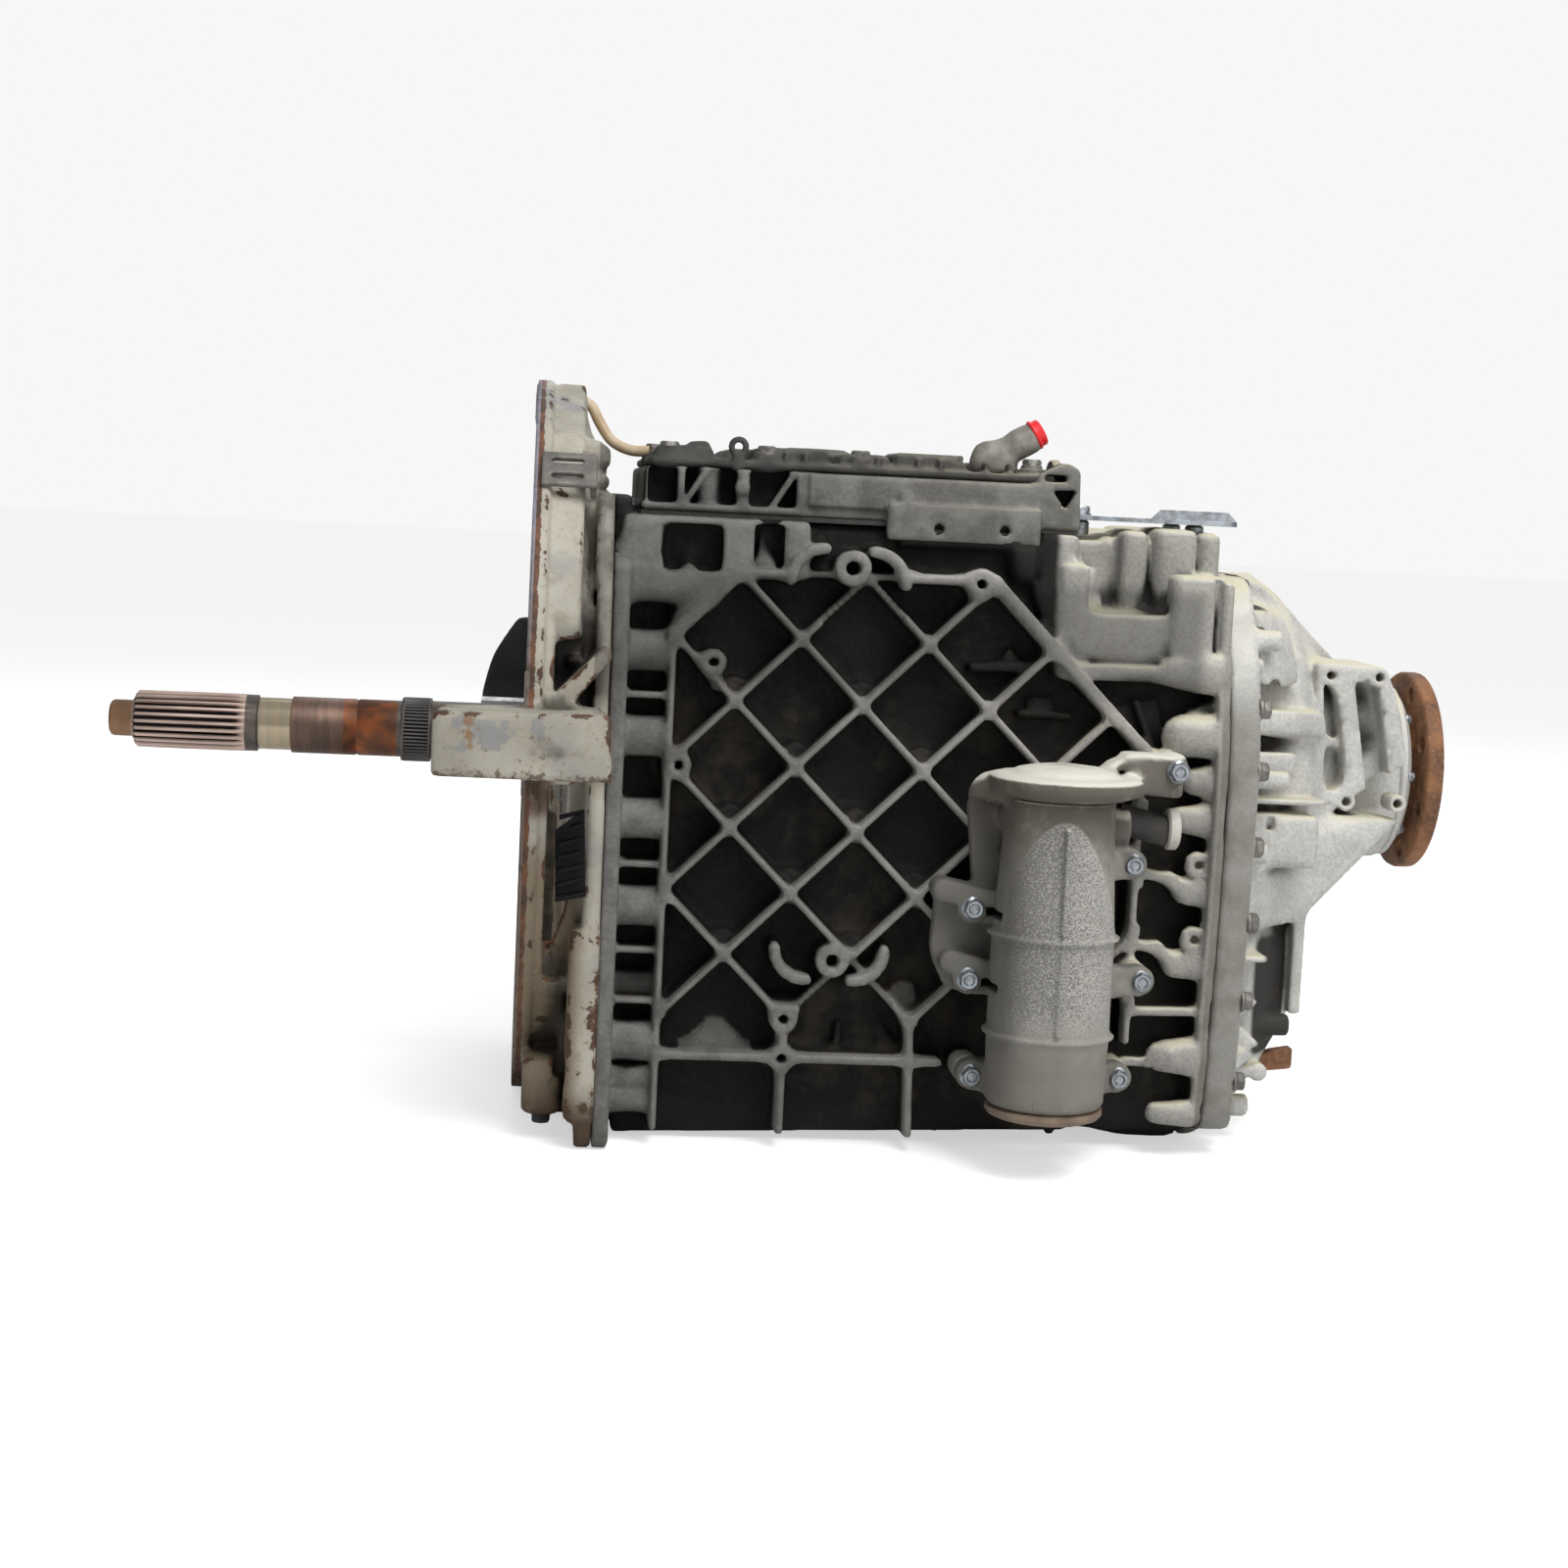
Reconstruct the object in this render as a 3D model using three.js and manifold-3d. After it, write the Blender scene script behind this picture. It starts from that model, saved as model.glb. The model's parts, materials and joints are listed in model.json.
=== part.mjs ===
// Heavy-truck manual transmission: a four-gear countershaft box with a splitter in front, a planetary
// range section behind, a shallow clutch housing and a ribbed aluminium main case.
// Units are millimetres, +Z is up. X runs along the input shaft from the clutch to the drive flange.
import * as THREE from 'three';
import { ConvexGeometry } from 'three/addons/geometries/ConvexGeometry.js';
import { mergeVertices } from 'three/addons/utils/BufferGeometryUtils.js';
import Module from 'manifold-3d';

const wasm = await Module();
wasm.setup();

// ---------------------------------------------------------------- driving dimensions
const GAP = 0.3;                 // clearance kept between parts that touch
const SLACK = 0.5;               // clearance of parts that turn or slide on one another
const ROUND = 16;                // flats round a shaft, a bearing or a bore

// Stations along X, measured from the clutch housing's engine face.
const SHAFT_TIP = -365;
const CLUTCH_RIM_END = 42;
const CASE_FRONT = 67;
const FRONT_FLANGE = 14;         // thickness of the main case's front flange
const CASE_REAR = 580;
const REAR_WALL = 24;
const RANGE_FLANGE_END = 612;
const FLANGE_REAR = 817;

// Heights and half widths of the castings.
const FOOT_Z = -316;
const CASE_BOTTOM = -302;
const CASE_TOP = 202;
const SKIN_Y = -205;             // outside of the near wall, which is the floor of the rib pockets
const RIB_Y = -240;              // tops of the ribs
const FAR_Y = 232;
const WALL = 8;
const CLUTCH_R = 314;

// Gear train. The countershaft lies straight below the input shaft.
const GEAR_MODULE = 7.5;
const PAIR_TEETH = 40;
const COUNTER_Z = -GEAR_MODULE * PAIR_TEETH / 2;
const MAIN_R = 34;               // mainshaft radius under the gears
const HUB_R = 45;                // radius of the clutch hubs
const PILOT_R = 21;              // bore in the input shaft that holds the mainshaft's nose
const SLEEVE_R = 62;
const IDLER_TEETH = 12;
const REVERSE_TEETH = 25;
const REVERSE_PINION_TEETH = 11;

// Planetary range set.
const RANGE_MODULE = 6;
const SUN_TEETH = 15;
const PLANET_TEETH = 12;
const RING_TEETH = SUN_TEETH + 2 * PLANET_TEETH;
const PLANET_COUNT = 3;
const PLANET_ORBIT = RANGE_MODULE * (SUN_TEETH + PLANET_TEETH) / 2;

// Rails that the shift forks slide on.
const RAIL_R = 9;
const RAIL_Y = 60;
const RAIL_Z = 150;

// Rib lattice on the near wall: squares standing on their corners.
const LATTICE_PITCH = 52.3;
const LATTICE_X = 222.5;
const LATTICE_Z = 3;
const RIB = 7;

// Oil filter housing, a vertical cylinder in front of the near wall.
const FILTER_X = 431.5;
const FILTER_Y = -303;
const FILTER_R = 52;
const FILTER_TOP = 8;
const FILTER_BOTTOM = -256;
const FILTER_EARS = [[399, -23], [365, -101], [365, -159], [374, -242],
  [495, -240], [508, -158], [498, -62], [524, 16]];
const EAR_R = 14;
const EAR_FACE = -276;
const PAD_FACE = -258;

// ---------------------------------------------------------------- solids from three.js geometry
function signedVolume(position, index) {
  const [a, b, c] = [new THREE.Vector3(), new THREE.Vector3(), new THREE.Vector3()];
  let volume = 0;
  for (let i = 0; i < index.length; i += 3) {
    a.fromArray(position, 3 * index[i]);
    b.fromArray(position, 3 * index[i + 1]);
    c.fromArray(position, 3 * index[i + 2]);
    volume += a.dot(b.cross(c)) / 6;
  }
  return volume;
}

function toSolid(geometry) {
  const bare = geometry.clone();
  bare.deleteAttribute('normal');
  bare.deleteAttribute('uv');
  const merged = mergeVertices(bare, 1e-4);
  const position = merged.attributes.position.array;
  const index = [];
  for (let i = 0; i < merged.index.count; i += 3) {
    const [a, b, c] = [0, 1, 2].map((k) => merged.index.getX(i + k));
    if (a !== b && b !== c && c !== a) index.push(a, b, c);
  }
  if (signedVolume(position, index) < 0) index.reverse();
  return new wasm.Manifold(new wasm.Mesh({
    numProp: 3, vertProperties: position, triVerts: new Uint32Array(index),
  }));
}

function toGeometry(solid) {
  const { vertProperties, triVerts } = solid.getMesh();
  const geometry = new THREE.BufferGeometry();
  geometry.setAttribute('position', new THREE.BufferAttribute(vertProperties, 3));
  geometry.setIndex(new THREE.BufferAttribute(triVerts, 1));
  geometry.computeVertexNormals();
  return geometry;
}

const join = (...solids) => solids.flat().reduce((whole, next) => whole.add(next));
const cut = (solid, ...tools) => tools.flat().reduce((rest, tool) => rest.subtract(tool), solid);

const X_AXIS = new THREE.Vector3(1, 0, 0);
const Y_AXIS = new THREE.Vector3(0, 1, 0);
const Z_AXIS = new THREE.Vector3(0, 0, 1);

function extruded(points, holes, from, to, basis, start) {
  const shape = new THREE.Shape(points.map(([u, v]) => new THREE.Vector2(u, v)));
  shape.holes = holes.map((hole) => new THREE.Path(hole.map(([u, v]) => new THREE.Vector2(u, v))));
  const geometry = new THREE.ExtrudeGeometry(shape, { depth: to - from, bevelEnabled: false });
  geometry.applyMatrix4(basis);
  geometry.translate(...start);
  return toSolid(geometry);
}

// Outlines in (Y, Z) carried along X, in (X, Z) along Y, and in (X, Y) along Z.
const alongX = (points, from, to, holes = []) => extruded(points, holes, from, to,
  new THREE.Matrix4().makeBasis(Y_AXIS, Z_AXIS, X_AXIS), [from, 0, 0]);
const alongY = (points, from, to, holes = []) => extruded(points, holes, from, to,
  new THREE.Matrix4().makeBasis(X_AXIS, Z_AXIS, Y_AXIS.clone().negate()), [0, to, 0]);
const alongZ = (points, from, to, holes = []) => extruded(points, holes, from, to,
  new THREE.Matrix4(), [0, 0, from]);

function box(x0, x1, y0, y1, z0, z1) {
  const geometry = new THREE.BoxGeometry(x1 - x0, y1 - y0, z1 - z0);
  geometry.translate((x0 + x1) / 2, (y0 + y1) / 2, (z0 + z1) / 2);
  return toSolid(geometry);
}

// A profile of [station, radius] points turned about an axis along X, Y or Z through a centre.
function turned(profile, axis, centre = [0, 0], segments = ROUND) {
  const geometry = new THREE.LatheGeometry(
    profile.map(([station, radius]) => new THREE.Vector2(radius, station)), segments);
  if (axis === 'x') geometry.rotateZ(-Math.PI / 2).translate(0, centre[0], centre[1]);
  if (axis === 'y') geometry.translate(centre[0], 0, centre[1]);
  if (axis === 'z') geometry.rotateX(Math.PI / 2).translate(centre[0], centre[1], 0);
  return toSolid(geometry);
}

const rod = (axis, centre, radius, from, to, segments = 16) => turned(
  [[from, 0], [from, radius], [to, radius], [to, 0]], axis, centre, segments);
const ring = (axis, centre, inner, outer, from, to, segments = ROUND) => turned(
  [[from, inner], [from, outer], [to, outer], [to, inner], [from, inner]], axis, centre, segments);

const hullOf = (points) => toSolid(new ConvexGeometry(points.map((p) => new THREE.Vector3(...p))));

function circle(u, v, radius, segments = 24, turn = 0) {
  return Array.from({ length: segments }, (_, i) => {
    const angle = turn + 2 * Math.PI * i / segments;
    return [u + radius * Math.cos(angle), v + radius * Math.sin(angle)];
  });
}

// Corners given as [u, v, radius], each rounded by a short curve.
function rounded(corners, steps = 2) {
  return corners.flatMap(([u, v, radius], i) => {
    const here = new THREE.Vector2(u, v);
    const before = new THREE.Vector2(...corners.at(i - 1).slice(0, 2)).sub(here).setLength(radius).add(here);
    const after = new THREE.Vector2(...corners.at((i + 1) % corners.length).slice(0, 2))
      .sub(here).setLength(radius).add(here);
    const curve = new THREE.QuadraticBezierCurve(before, here, after);
    return curve.getPoints(steps).map((p) => [p.x, p.y]);
  });
}

// A bar with square ends between two points of the near wall, standing out from the skin to the rib tops.
function wallBar([x0, z0], [x1, z1], width, from = RIB_Y, to = SKIN_Y + 2) {
  const along = new THREE.Vector2(x1 - x0, z1 - z0).normalize();
  const side = new THREE.Vector2(-along.y, along.x).multiplyScalar(width / 2);
  const corners = [[x0 + side.x, z0 + side.y], [x1 + side.x, z1 + side.y],
    [x1 - side.x, z1 - side.y], [x0 - side.x, z0 - side.y]];
  return alongY(corners, from, to);
}

// Radius of a many-sided bore whose flats clear a shaft of the given radius as it turns.
const bored = (radius, sides = ROUND) => (radius + GAP) / Math.cos(Math.PI / sides);

// ---------------------------------------------------------------- gear outlines
const TIP_HEIGHT = 0.8;          // tooth heights in modules
const ROOT_DEPTH = 1.1;
const ROOT_WIDTH = 0.5;          // tooth widths as a share of the pitch
const TIP_WIDTH = 0.2;

function toothedOutline(teeth, root, tip, toothAngle, centre = [0, 0], widths = [ROOT_WIDTH, TIP_WIDTH]) {
  const pitch = 2 * Math.PI / teeth;
  const [rootHalf, tipHalf] = widths.map((share) => share * pitch / 2);
  const corners = [[root, -rootHalf], [tip, -tipHalf], [tip, tipHalf], [root, rootHalf]];
  return Array.from({ length: teeth }, (_, i) => corners.map(([radius, offset]) => {
    const angle = toothAngle + i * pitch + offset;
    return [centre[0] + radius * Math.cos(angle), centre[1] + radius * Math.sin(angle)];
  })).flat();
}

function gearOutline(teeth, module, toothAngle, centre) {
  const pitchRadius = teeth * module / 2;
  return toothedOutline(teeth, pitchRadius - ROOT_DEPTH * module, pitchRadius + TIP_HEIGHT * module,
    toothAngle, centre);
}

const UP = Math.PI / 2;
const COUNTER_AXIS = [0, COUNTER_Z];
const IDLER_AXIS = (() => {
  const toMain = GEAR_MODULE * (REVERSE_TEETH + IDLER_TEETH) / 2;
  const toCounter = GEAR_MODULE * (REVERSE_PINION_TEETH + IDLER_TEETH) / 2;
  const drop = (toMain ** 2 - toCounter ** 2 + COUNTER_Z ** 2) / (2 * -COUNTER_Z);
  return [Math.sqrt(toMain ** 2 - drop ** 2), -drop];
})();

// Stations of the gears: [from, to, teeth on the upper shaft].
const GEARS = {
  splitter: { from: 92, to: 132, teeth: 18 },
  third: { from: 180, to: 220, teeth: 21 },
  second: { from: 272, to: 312, teeth: 25 },
  first: { from: 318, to: 364, teeth: 28 },
  reverse: { from: 418, to: 458, teeth: REVERSE_TEETH },
};

// ---------------------------------------------------------------- materials
const surface = (color, roughness, metalness) => () => new THREE.MeshStandardMaterial({
  color, roughness, metalness,
});
const paintedIron = surface(0xcfc8b4, 0.6, 0.1);
const blackPaint = surface(0x1c1b1d, 0.5, 0.1);
const castAluminium = surface(0x77746c, 0.65, 0.6);
const dustyAluminium = surface(0x9a978e, 0.75, 0.4);
const gearSteel = surface(0x8d9096, 0.3, 0.95);
const rustySteel = surface(0x6e4a30, 0.6, 0.7);
const bearingSteel = surface(0xb4b7bb, 0.2, 0.95);
const zincSteel = surface(0x8b949c, 0.45, 0.8);
const bronze = surface(0xa87b3c, 0.4, 0.9);
const rubber = surface(0x171717, 0.85, 0);
const gasketFibre = surface(0x2b2a28, 0.9, 0);
const redPlastic = surface(0xd8202b, 0.4, 0);
const nylonLine = surface(0xb08c5a, 0.5, 0);

const assembly = new THREE.Group();

function part(name, solid, material) {
  const mesh = new THREE.Mesh(toGeometry(solid), material());
  mesh.name = name;
  assembly.add(mesh);
  return mesh;
}

// ---------------------------------------------------------------- clutch housing
const caseFlange = rounded([[-262, FOOT_Z, 30], [262, FOOT_Z, 30], [262, 120, 40], [205, 218, 30],
  [-205, 218, 30], [-262, 120, 40]]);
const caseCavity = rounded([[SKIN_Y + WALL, CASE_BOTTOM + 10, 25], [FAR_Y - WALL, CASE_BOTTOM + 10, 25],
  [FAR_Y - WALL, CASE_TOP - 12, 25], [SKIN_Y + WALL, CASE_TOP - 12, 25]]);
const INPUT_BORE = 55;
const COUNTER_BORE = 42;

function clutchHousing() {
  const rim = ring('x', [0, 0], 280, CLUTCH_R, 0, CLUTCH_RIM_END, 40);
  const earOutline = rounded([[-70, 250, 5], [70, 250, 5], [48, 311, 14], [-48, 311, 14]]);
  const topEar = alongX(earOutline, 0, CLUTCH_RIM_END);
  const nearFoot = box(-70, 70, -350, -290, -6, 50);
  const farBoss = box(0, 60, 285, 330, -8, 70);
  const rearPlate = alongX(caseFlange, CLUTCH_RIM_END - 1, CASE_FRONT - GAP);
  const partition = cut(
    rearPlate,
    rod('x', [0, 0], INPUT_BORE, 40, 80),
    alongX(caseCavity, CASE_FRONT - 11, 80),
  );
  const wallInside = join(
    ring('x', [0, 0], INPUT_BORE, INPUT_BORE + 14, 47, 77),
    ring('x', COUNTER_AXIS, COUNTER_BORE, COUNTER_BORE + 12, 50, 77),
  );
  const sideOpening = box(21, 45, -330, -262, -165, -24);
  const bolts = Array.from({ length: 12 }, (_, i) => {
    const angle = (i + 0.5) * Math.PI / 6;
    return rod('x', [297 * Math.cos(angle), 297 * Math.sin(angle)], 6, -1, 38, 6);
  });
  return cut(join(rim, topEar, nearFoot, farBoss, partition, wallInside), sideOpening, bolts);
}
part('clutch_housing', clutchHousing(), paintedIron);

const farBracket = hullOf([[-49, 331, 4], [-48, 331, 16], [-38, 331, 52], [-14, 331, 90], [-47, 355, 6],
  [-46, 355, 16], [-36, 355, 50], [-12, 355, 86], [52, 331, 92], [52, 355, 86], [60, 331, -2], [-42, 331, -3],
  [60, 355, 4], [-40, 355, 2]]
  .map(([x, y, z]) => [x, y - GAP - 0.7, z]));
part('far_mount_bracket', farBracket, blackPaint);

// A strap over the rim with two slots and a tab bent down behind it, turned round the rim to its place.
function slottedBracket() {
  const slots = [-9, 9].map((y) => box(14, 40, y - 3, y + 3, 300, 330));
  const strap = box(6, 51, -20, 20, CLUTCH_R + 0.8, CLUTCH_R + 5);
  return cut(join(strap, box(46, 51, -20, 20, 303, CLUTCH_R + 5)), slots);
}
part('slotted_bracket', slottedBracket(), zincSteel).rotation.x = Math.PI * 42 / 180;

// A black cover over the opening in the near side of the rim.
part('inspection_cover', box(28, 54, -276, -262 - GAP, -104, -38), blackPaint);

// ---------------------------------------------------------------- main case
// Outline of the joint between the main case and the range housing.
const rearJointOutline = () => rounded([[-231, -294, 30], [236, -294, 30], [250, -150, 40], [250, 50, 16],
  [238, 92, 16], [182, 173, 25], [-178, 173, 25], [-238, 92, 16], [-250, 50, 16], [-231, -150, 40]]);

function latticeRibs() {
  const region = [[LATTICE_X - 105, 108], [LATTICE_X - 52, 161], [LATTICE_X + 158, 161],
    [LATTICE_X + 290, 20], [LATTICE_X + 290, -239], [LATTICE_X - 105, -239]];
  const span = 600;
  const diagonals = [];
  for (let k = -5; k <= 5; k += 1) {
    const shift = 2 * k * LATTICE_PITCH;
    for (const lean of [1, -1]) {
      const centre = [LATTICE_X + shift, LATTICE_Z];
      diagonals.push(wallBar([centre[0] - span, centre[1] - lean * span],
        [centre[0] + span, centre[1] + lean * span], RIB));
    }
  }
  const bounded = join(diagonals).intersect(alongY(region, RIB_Y, SKIN_Y + 2));
  const edges = region.map((corner, i) => wallBar(corner, region[(i + 1) % region.length], RIB));
  const uprights = [222, 330].map((x) => wallBar([x, CASE_BOTTOM + 4], [x, -236], RIB));
  return join(bounded, edges, uprights);
}

function mainCase() {
  const bodyOutline = rounded([[SKIN_Y, CASE_BOTTOM, 25], [FAR_Y, CASE_BOTTOM, 25], [FAR_Y, CASE_TOP, 25],
    [SKIN_Y, CASE_TOP, 25]]);
  const rearOutline = rearJointOutline();
  const body = alongX(bodyOutline, CASE_FRONT, CASE_REAR);
  const frontFlange = alongX(caseFlange, CASE_FRONT, CASE_FRONT + FRONT_FLANGE);
  const rearFlange = alongX(rearOutline, CASE_REAR - 14, CASE_REAR);
  const upperBlock = box(85, 455, SKIN_Y - 25, SKIN_Y + 4, 161, CASE_TOP);
  const rearShelf = box(455, 566, SKIN_Y - 5, SKIN_Y + 4, 100, 172);
  const rearFoot = box(500, 572, -160, 160, FOOT_Z, CASE_BOTTOM + 2);
  const frontBosses = [93, 23, -45, -117, -230].map((z) => rod('x', [-236, z], 16, CASE_FRONT, 118, 8));
  const rearBosses = [90, 41, -31, -87, -147, -232].map((z) => rod('x', [-226, z], 17, 516, 570, 8));
  const pads = FILTER_EARS.map((ear) => rod('y', ear, EAR_R - 2, PAD_FACE, SKIN_Y + 2, 8));
  const cavity = join(
    alongX(caseCavity, CASE_FRONT - 5, CASE_REAR - REAR_WALL),
    box(140, 420, -110, 110, 150, CASE_TOP + 5),
    rod('x', [0, 0], 62, CASE_REAR - 30, CASE_REAR + 5),
    rod('x', COUNTER_AXIS, COUNTER_BORE, CASE_REAR - 30, CASE_REAR + 5),
  );
  const recesses = [box(104, 157, -235, -212, 166, 196), box(172, 200, -235, -212, 172, 196)];
  return cut(join(body, frontFlange, rearFlange, upperBlock, rearShelf, rearFoot, latticeRibs(),
    frontBosses, rearBosses, pads), cavity, recesses);
}
part('main_housing', mainCase(), castAluminium);

// ---------------------------------------------------------------- range housing and output end
const OUTPUT_BORE = 74;

function rangeHousing() {
  const flange = alongX(rearJointOutline(), CASE_REAR + GAP, RANGE_FLANGE_END);
  const cone = turned([[600, 0], [600, 176], [637, 172], [668, 161], [700, 127], [724, 94], [742, 83],
    [781, 81], [781, 0]], 'x');
  const sump = hullOf([[605, -190, -60], [605, 190, -60], [605, -200, -270], [605, 200, -270],
    [665, -120, -240], [665, 120, -240], [716, -70, -156], [716, 70, -156], [728, -60, -60], [728, 60, -60]]);
  const nearPad = alongY([[699, 108], [741, 102], [778, -22], [698, -40]], -125, -60);
  const inside = turned([[570, 0], [570, 150], [674, 150], [700, 106], [705, 80], [705, OUTPUT_BORE],
    [800, OUTPUT_BORE], [800, 0]], 'x');
  const padHoles = [[703, 91], [733, 88], [711, -26], [764, -18]]
    .map((hole) => rod('y', hole, 4, -130, -108, 8));
  return cut(join(flange, cone, sump, nearPad), inside, padHoles);
}
part('range_housing', rangeHousing(), dustyAluminium);

part('output_bearing_cover', turned([[781 + GAP, 61], [781 + GAP, 79], [788, 79], [793, 72], [793, 61],
  [781 + GAP, 61]], 'x'), dustyAluminium);

// A plate that hangs edge-on from the underside of the sump.
const lowerPlate = alongY([[640, -262], [684, -257], [684, -238], [664, -241.5], [640, -253.5]], -130, -118);
part('rear_lower_plate', lowerPlate, rustySteel);

// ---------------------------------------------------------------- control housing on top of the case
const COVER_BOTTOM = CASE_TOP + 4.6;
const COVER_TOP = 250;
const controlOutline = [[88, -204], [450, -204], [450, 190], [88, 190]];
part('control_gasket', alongZ(controlOutline, CASE_TOP + GAP, COVER_BOTTOM - GAP,
  [[[145, -105], [415, -105], [415, 105], [145, 105]]]), gasketFibre);

function controlHousing() {
  const base = box(88, 450, -204, 190, COVER_BOTTOM, 212);
  const walls = box(100, 428, -196, 150, COVER_BOTTOM, 238);
  const cylinder = rod('x', [172, 230], 20, 360, 450, 14);
  const hollow = box(125, 420, -150, 110, 200, 245);
  const post = box(430, 458, -202, -150, 207, 258);
  const railPlate = box(300, 440, -214, -203, COVER_BOTTOM, 222);
  const railHoles = [330, 383].map((x) => rod('y', [x, 215], 4, -230, -205, 8));
  const shaftBores = rod('x', [0, 224], 10.5, 90, 132, 12);
  return cut(join(base, walls, cylinder, post, railPlate), hollow, railHoles, shaftBores);
}
part('control_housing', controlHousing(), castAluminium);

function controlCover() {
  const plate = box(100, 428, -196, 150, 238 + GAP, COVER_TOP);
  const bosses = [[125, -150], [210, -150], [300, -150], [395, -150], [125, 100], [300, 100], [395, 100]]
    .map((at) => rod('z', at, 13, 240, 258, 8));
  const dome = box(160, 330, -110, 60, 240, 261);
  return join(plate, bosses, dome);
}
part('control_cover', controlCover(), castAluminium);

part('range_cylinder_cover', turned([[450.5, 0], [450.5, 29], [458, 29], [466, 22], [466, 0]], 'x',
  [-60, 237], 16), castAluminium);

// A bent plate on three spacers that stand on the case.
const topPlate = alongZ([[452, -150], [600, -150], [600, -30], [556, -30], [556, -110], [452, -110]],
  214, 219);
const spacers = [[466, -130], [566, -130], [566, -44]].map((at) => rod('z', at, 7, CASE_TOP + GAP, 216, 8));
part('top_bracket_plate', join(topPlate, spacers), zincSteel);

function breatherElbow() {
  const path = new THREE.CatmullRomCurve3([[372, -170, 262], [384, -170, 266], [396, -170, 272],
    [407, -170, 278]].map((p) => new THREE.Vector3(...p)));
  const section = new THREE.Shape(circle(0, 0, 10, 12).map(([u, v]) => new THREE.Vector2(u, v)));
  const pipe = toSolid(new THREE.ExtrudeGeometry(section, { steps: 4, extrudePath: path }));
  return join(pipe, rod('z', [374, -170], 12, COVER_TOP + GAP, 264, 12));
}
part('breather_elbow', breatherElbow(), zincSteel);

function breatherCap() {
  const cap = new THREE.CylinderGeometry(12, 12, 9, 12);
  cap.rotateZ(-Math.PI / 2 + Math.atan2(6, 10));
  return toSolid(cap.translate(418, -170, 285));
}
part('breather_cap', breatherCap(), redPlastic);

// Air line from the clutch housing's top ear to the control cover, held at both ends.
function airLine() {
  const path = new THREE.CatmullRomCurve3([[49, -20, 298], [54, -22, 282], [66, -26, 264], [82, -30, 256.5],
    [99.4, -34, 256]].map((p) => new THREE.Vector3(...p)));
  const section = new THREE.Shape(circle(0, 0, 5, 8).map(([u, v]) => new THREE.Vector2(u, v)));
  return toSolid(new THREE.ExtrudeGeometry(section, { steps: 8, extrudePath: path }));
}
part('air_line', airLine(), nylonLine);

// ---------------------------------------------------------------- oil filter and coolant pipe
function filterHousing() {
  const centre = [FILTER_X, FILTER_Y];
  const barrel = turned([[FILTER_BOTTOM, 0], [FILTER_BOTTOM, 49], [-206, FILTER_R], [-203, 54], [-199, 54],
    [-196, FILTER_R], [-138, 52], [-135, 55], [-131, 55], [-128, 53], [-12, 54], [-4, 66], [FILTER_TOP, 70],
    [FILTER_TOP, 0]], 'z', centre, 20);
  const bowl = rod('z', centre, 44, FILTER_BOTTOM - 5, FILTER_TOP - 12, 16);
  const ears = FILTER_EARS.map((ear) => rod('y', ear, EAR_R, EAR_FACE, PAD_FACE - GAP, 8));
  const arms = FILTER_EARS.map(([x, z]) => {
    const inward = FILTER_X + 30 * Math.sign(x - FILTER_X);
    return wallBar([x, z], [inward, Math.min(z, FILTER_TOP - 12)], 12, EAR_FACE + 3, PAD_FACE - GAP - 1);
  });
  const padRoom = FILTER_EARS.map((ear) => rod('y', ear, EAR_R - 1, PAD_FACE - GAP, SKIN_Y, 8));
  const ribRoom = box(300, 600, RIB_Y - 1, SKIN_Y, -300, 50);
  return join(cut(join(barrel, arms), bowl, padRoom, ribRoom), ears);
}
part('oil_filter_housing', filterHousing(), dustyAluminium);
part('oil_filter_cap', turned([[FILTER_BOTTOM - GAP, 0], [FILTER_BOTTOM - GAP, 48],
  [FILTER_BOTTOM - 5, 48], [FILTER_BOTTOM - 10, 42], [FILTER_BOTTOM - 10, 0]], 'z', [FILTER_X, FILTER_Y], 24),
surface(0x6a4a30, 0.8, 0));

const coolantPipe = turned([[490, 0], [490, 12], [526, 12], [526, 17], [536, 17], [536, 0]], 'x',
  [-262, -33], 12);
part('coolant_pipe', coolantPipe, rubber);

// ---------------------------------------------------------------- input shaft and splitter
function inputShaft() {
  const core = turned([[SHAFT_TIP, 0], [SHAFT_TIP, 13], [SHAFT_TIP + 3, 16], [-342, 16], [-342, 21],
    [-237, 21], [-237, 23], [-206, 23], [-206, 25], [-108, 25], [-108, 28.5], [-84, 28.5], [-84, 26],
    [50, 26], [50, 30], [76, 30], [76, MAIN_R], [134, MAIN_R],
    [134, HUB_R], [172, HUB_R], [172, PILOT_R], [125, PILOT_R], [125, 0]], 'x');
  const clutchSpline = alongX(toothedOutline(24, 21.5, 25.4, 0, [0, 0], [0.62, 0.42]), -342.5, -235);
  return join(core, clutchSpline);
}
part('input_shaft', inputShaft(), rustySteel);

function looseGear({ from, to, teeth }, toothAngle) {
  return alongX(gearOutline(teeth, GEAR_MODULE, toothAngle, [0, 0]), from, to,
    [circle(0, 0, bored(MAIN_R), ROUND)]);
}
const gapDown = (teeth) => -UP + Math.PI / teeth;
part('splitter_gear', looseGear(GEARS.splitter, gapDown(GEARS.splitter.teeth)), gearSteel);

// Sliding sleeves ride on the hubs and carry a groove for their fork.
const SLEEVE_WIDTH = 24;
const GROOVE_WIDTH = 11;
const GROOVE_R = 55;
const FORK_WIDTH = 10;

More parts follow.
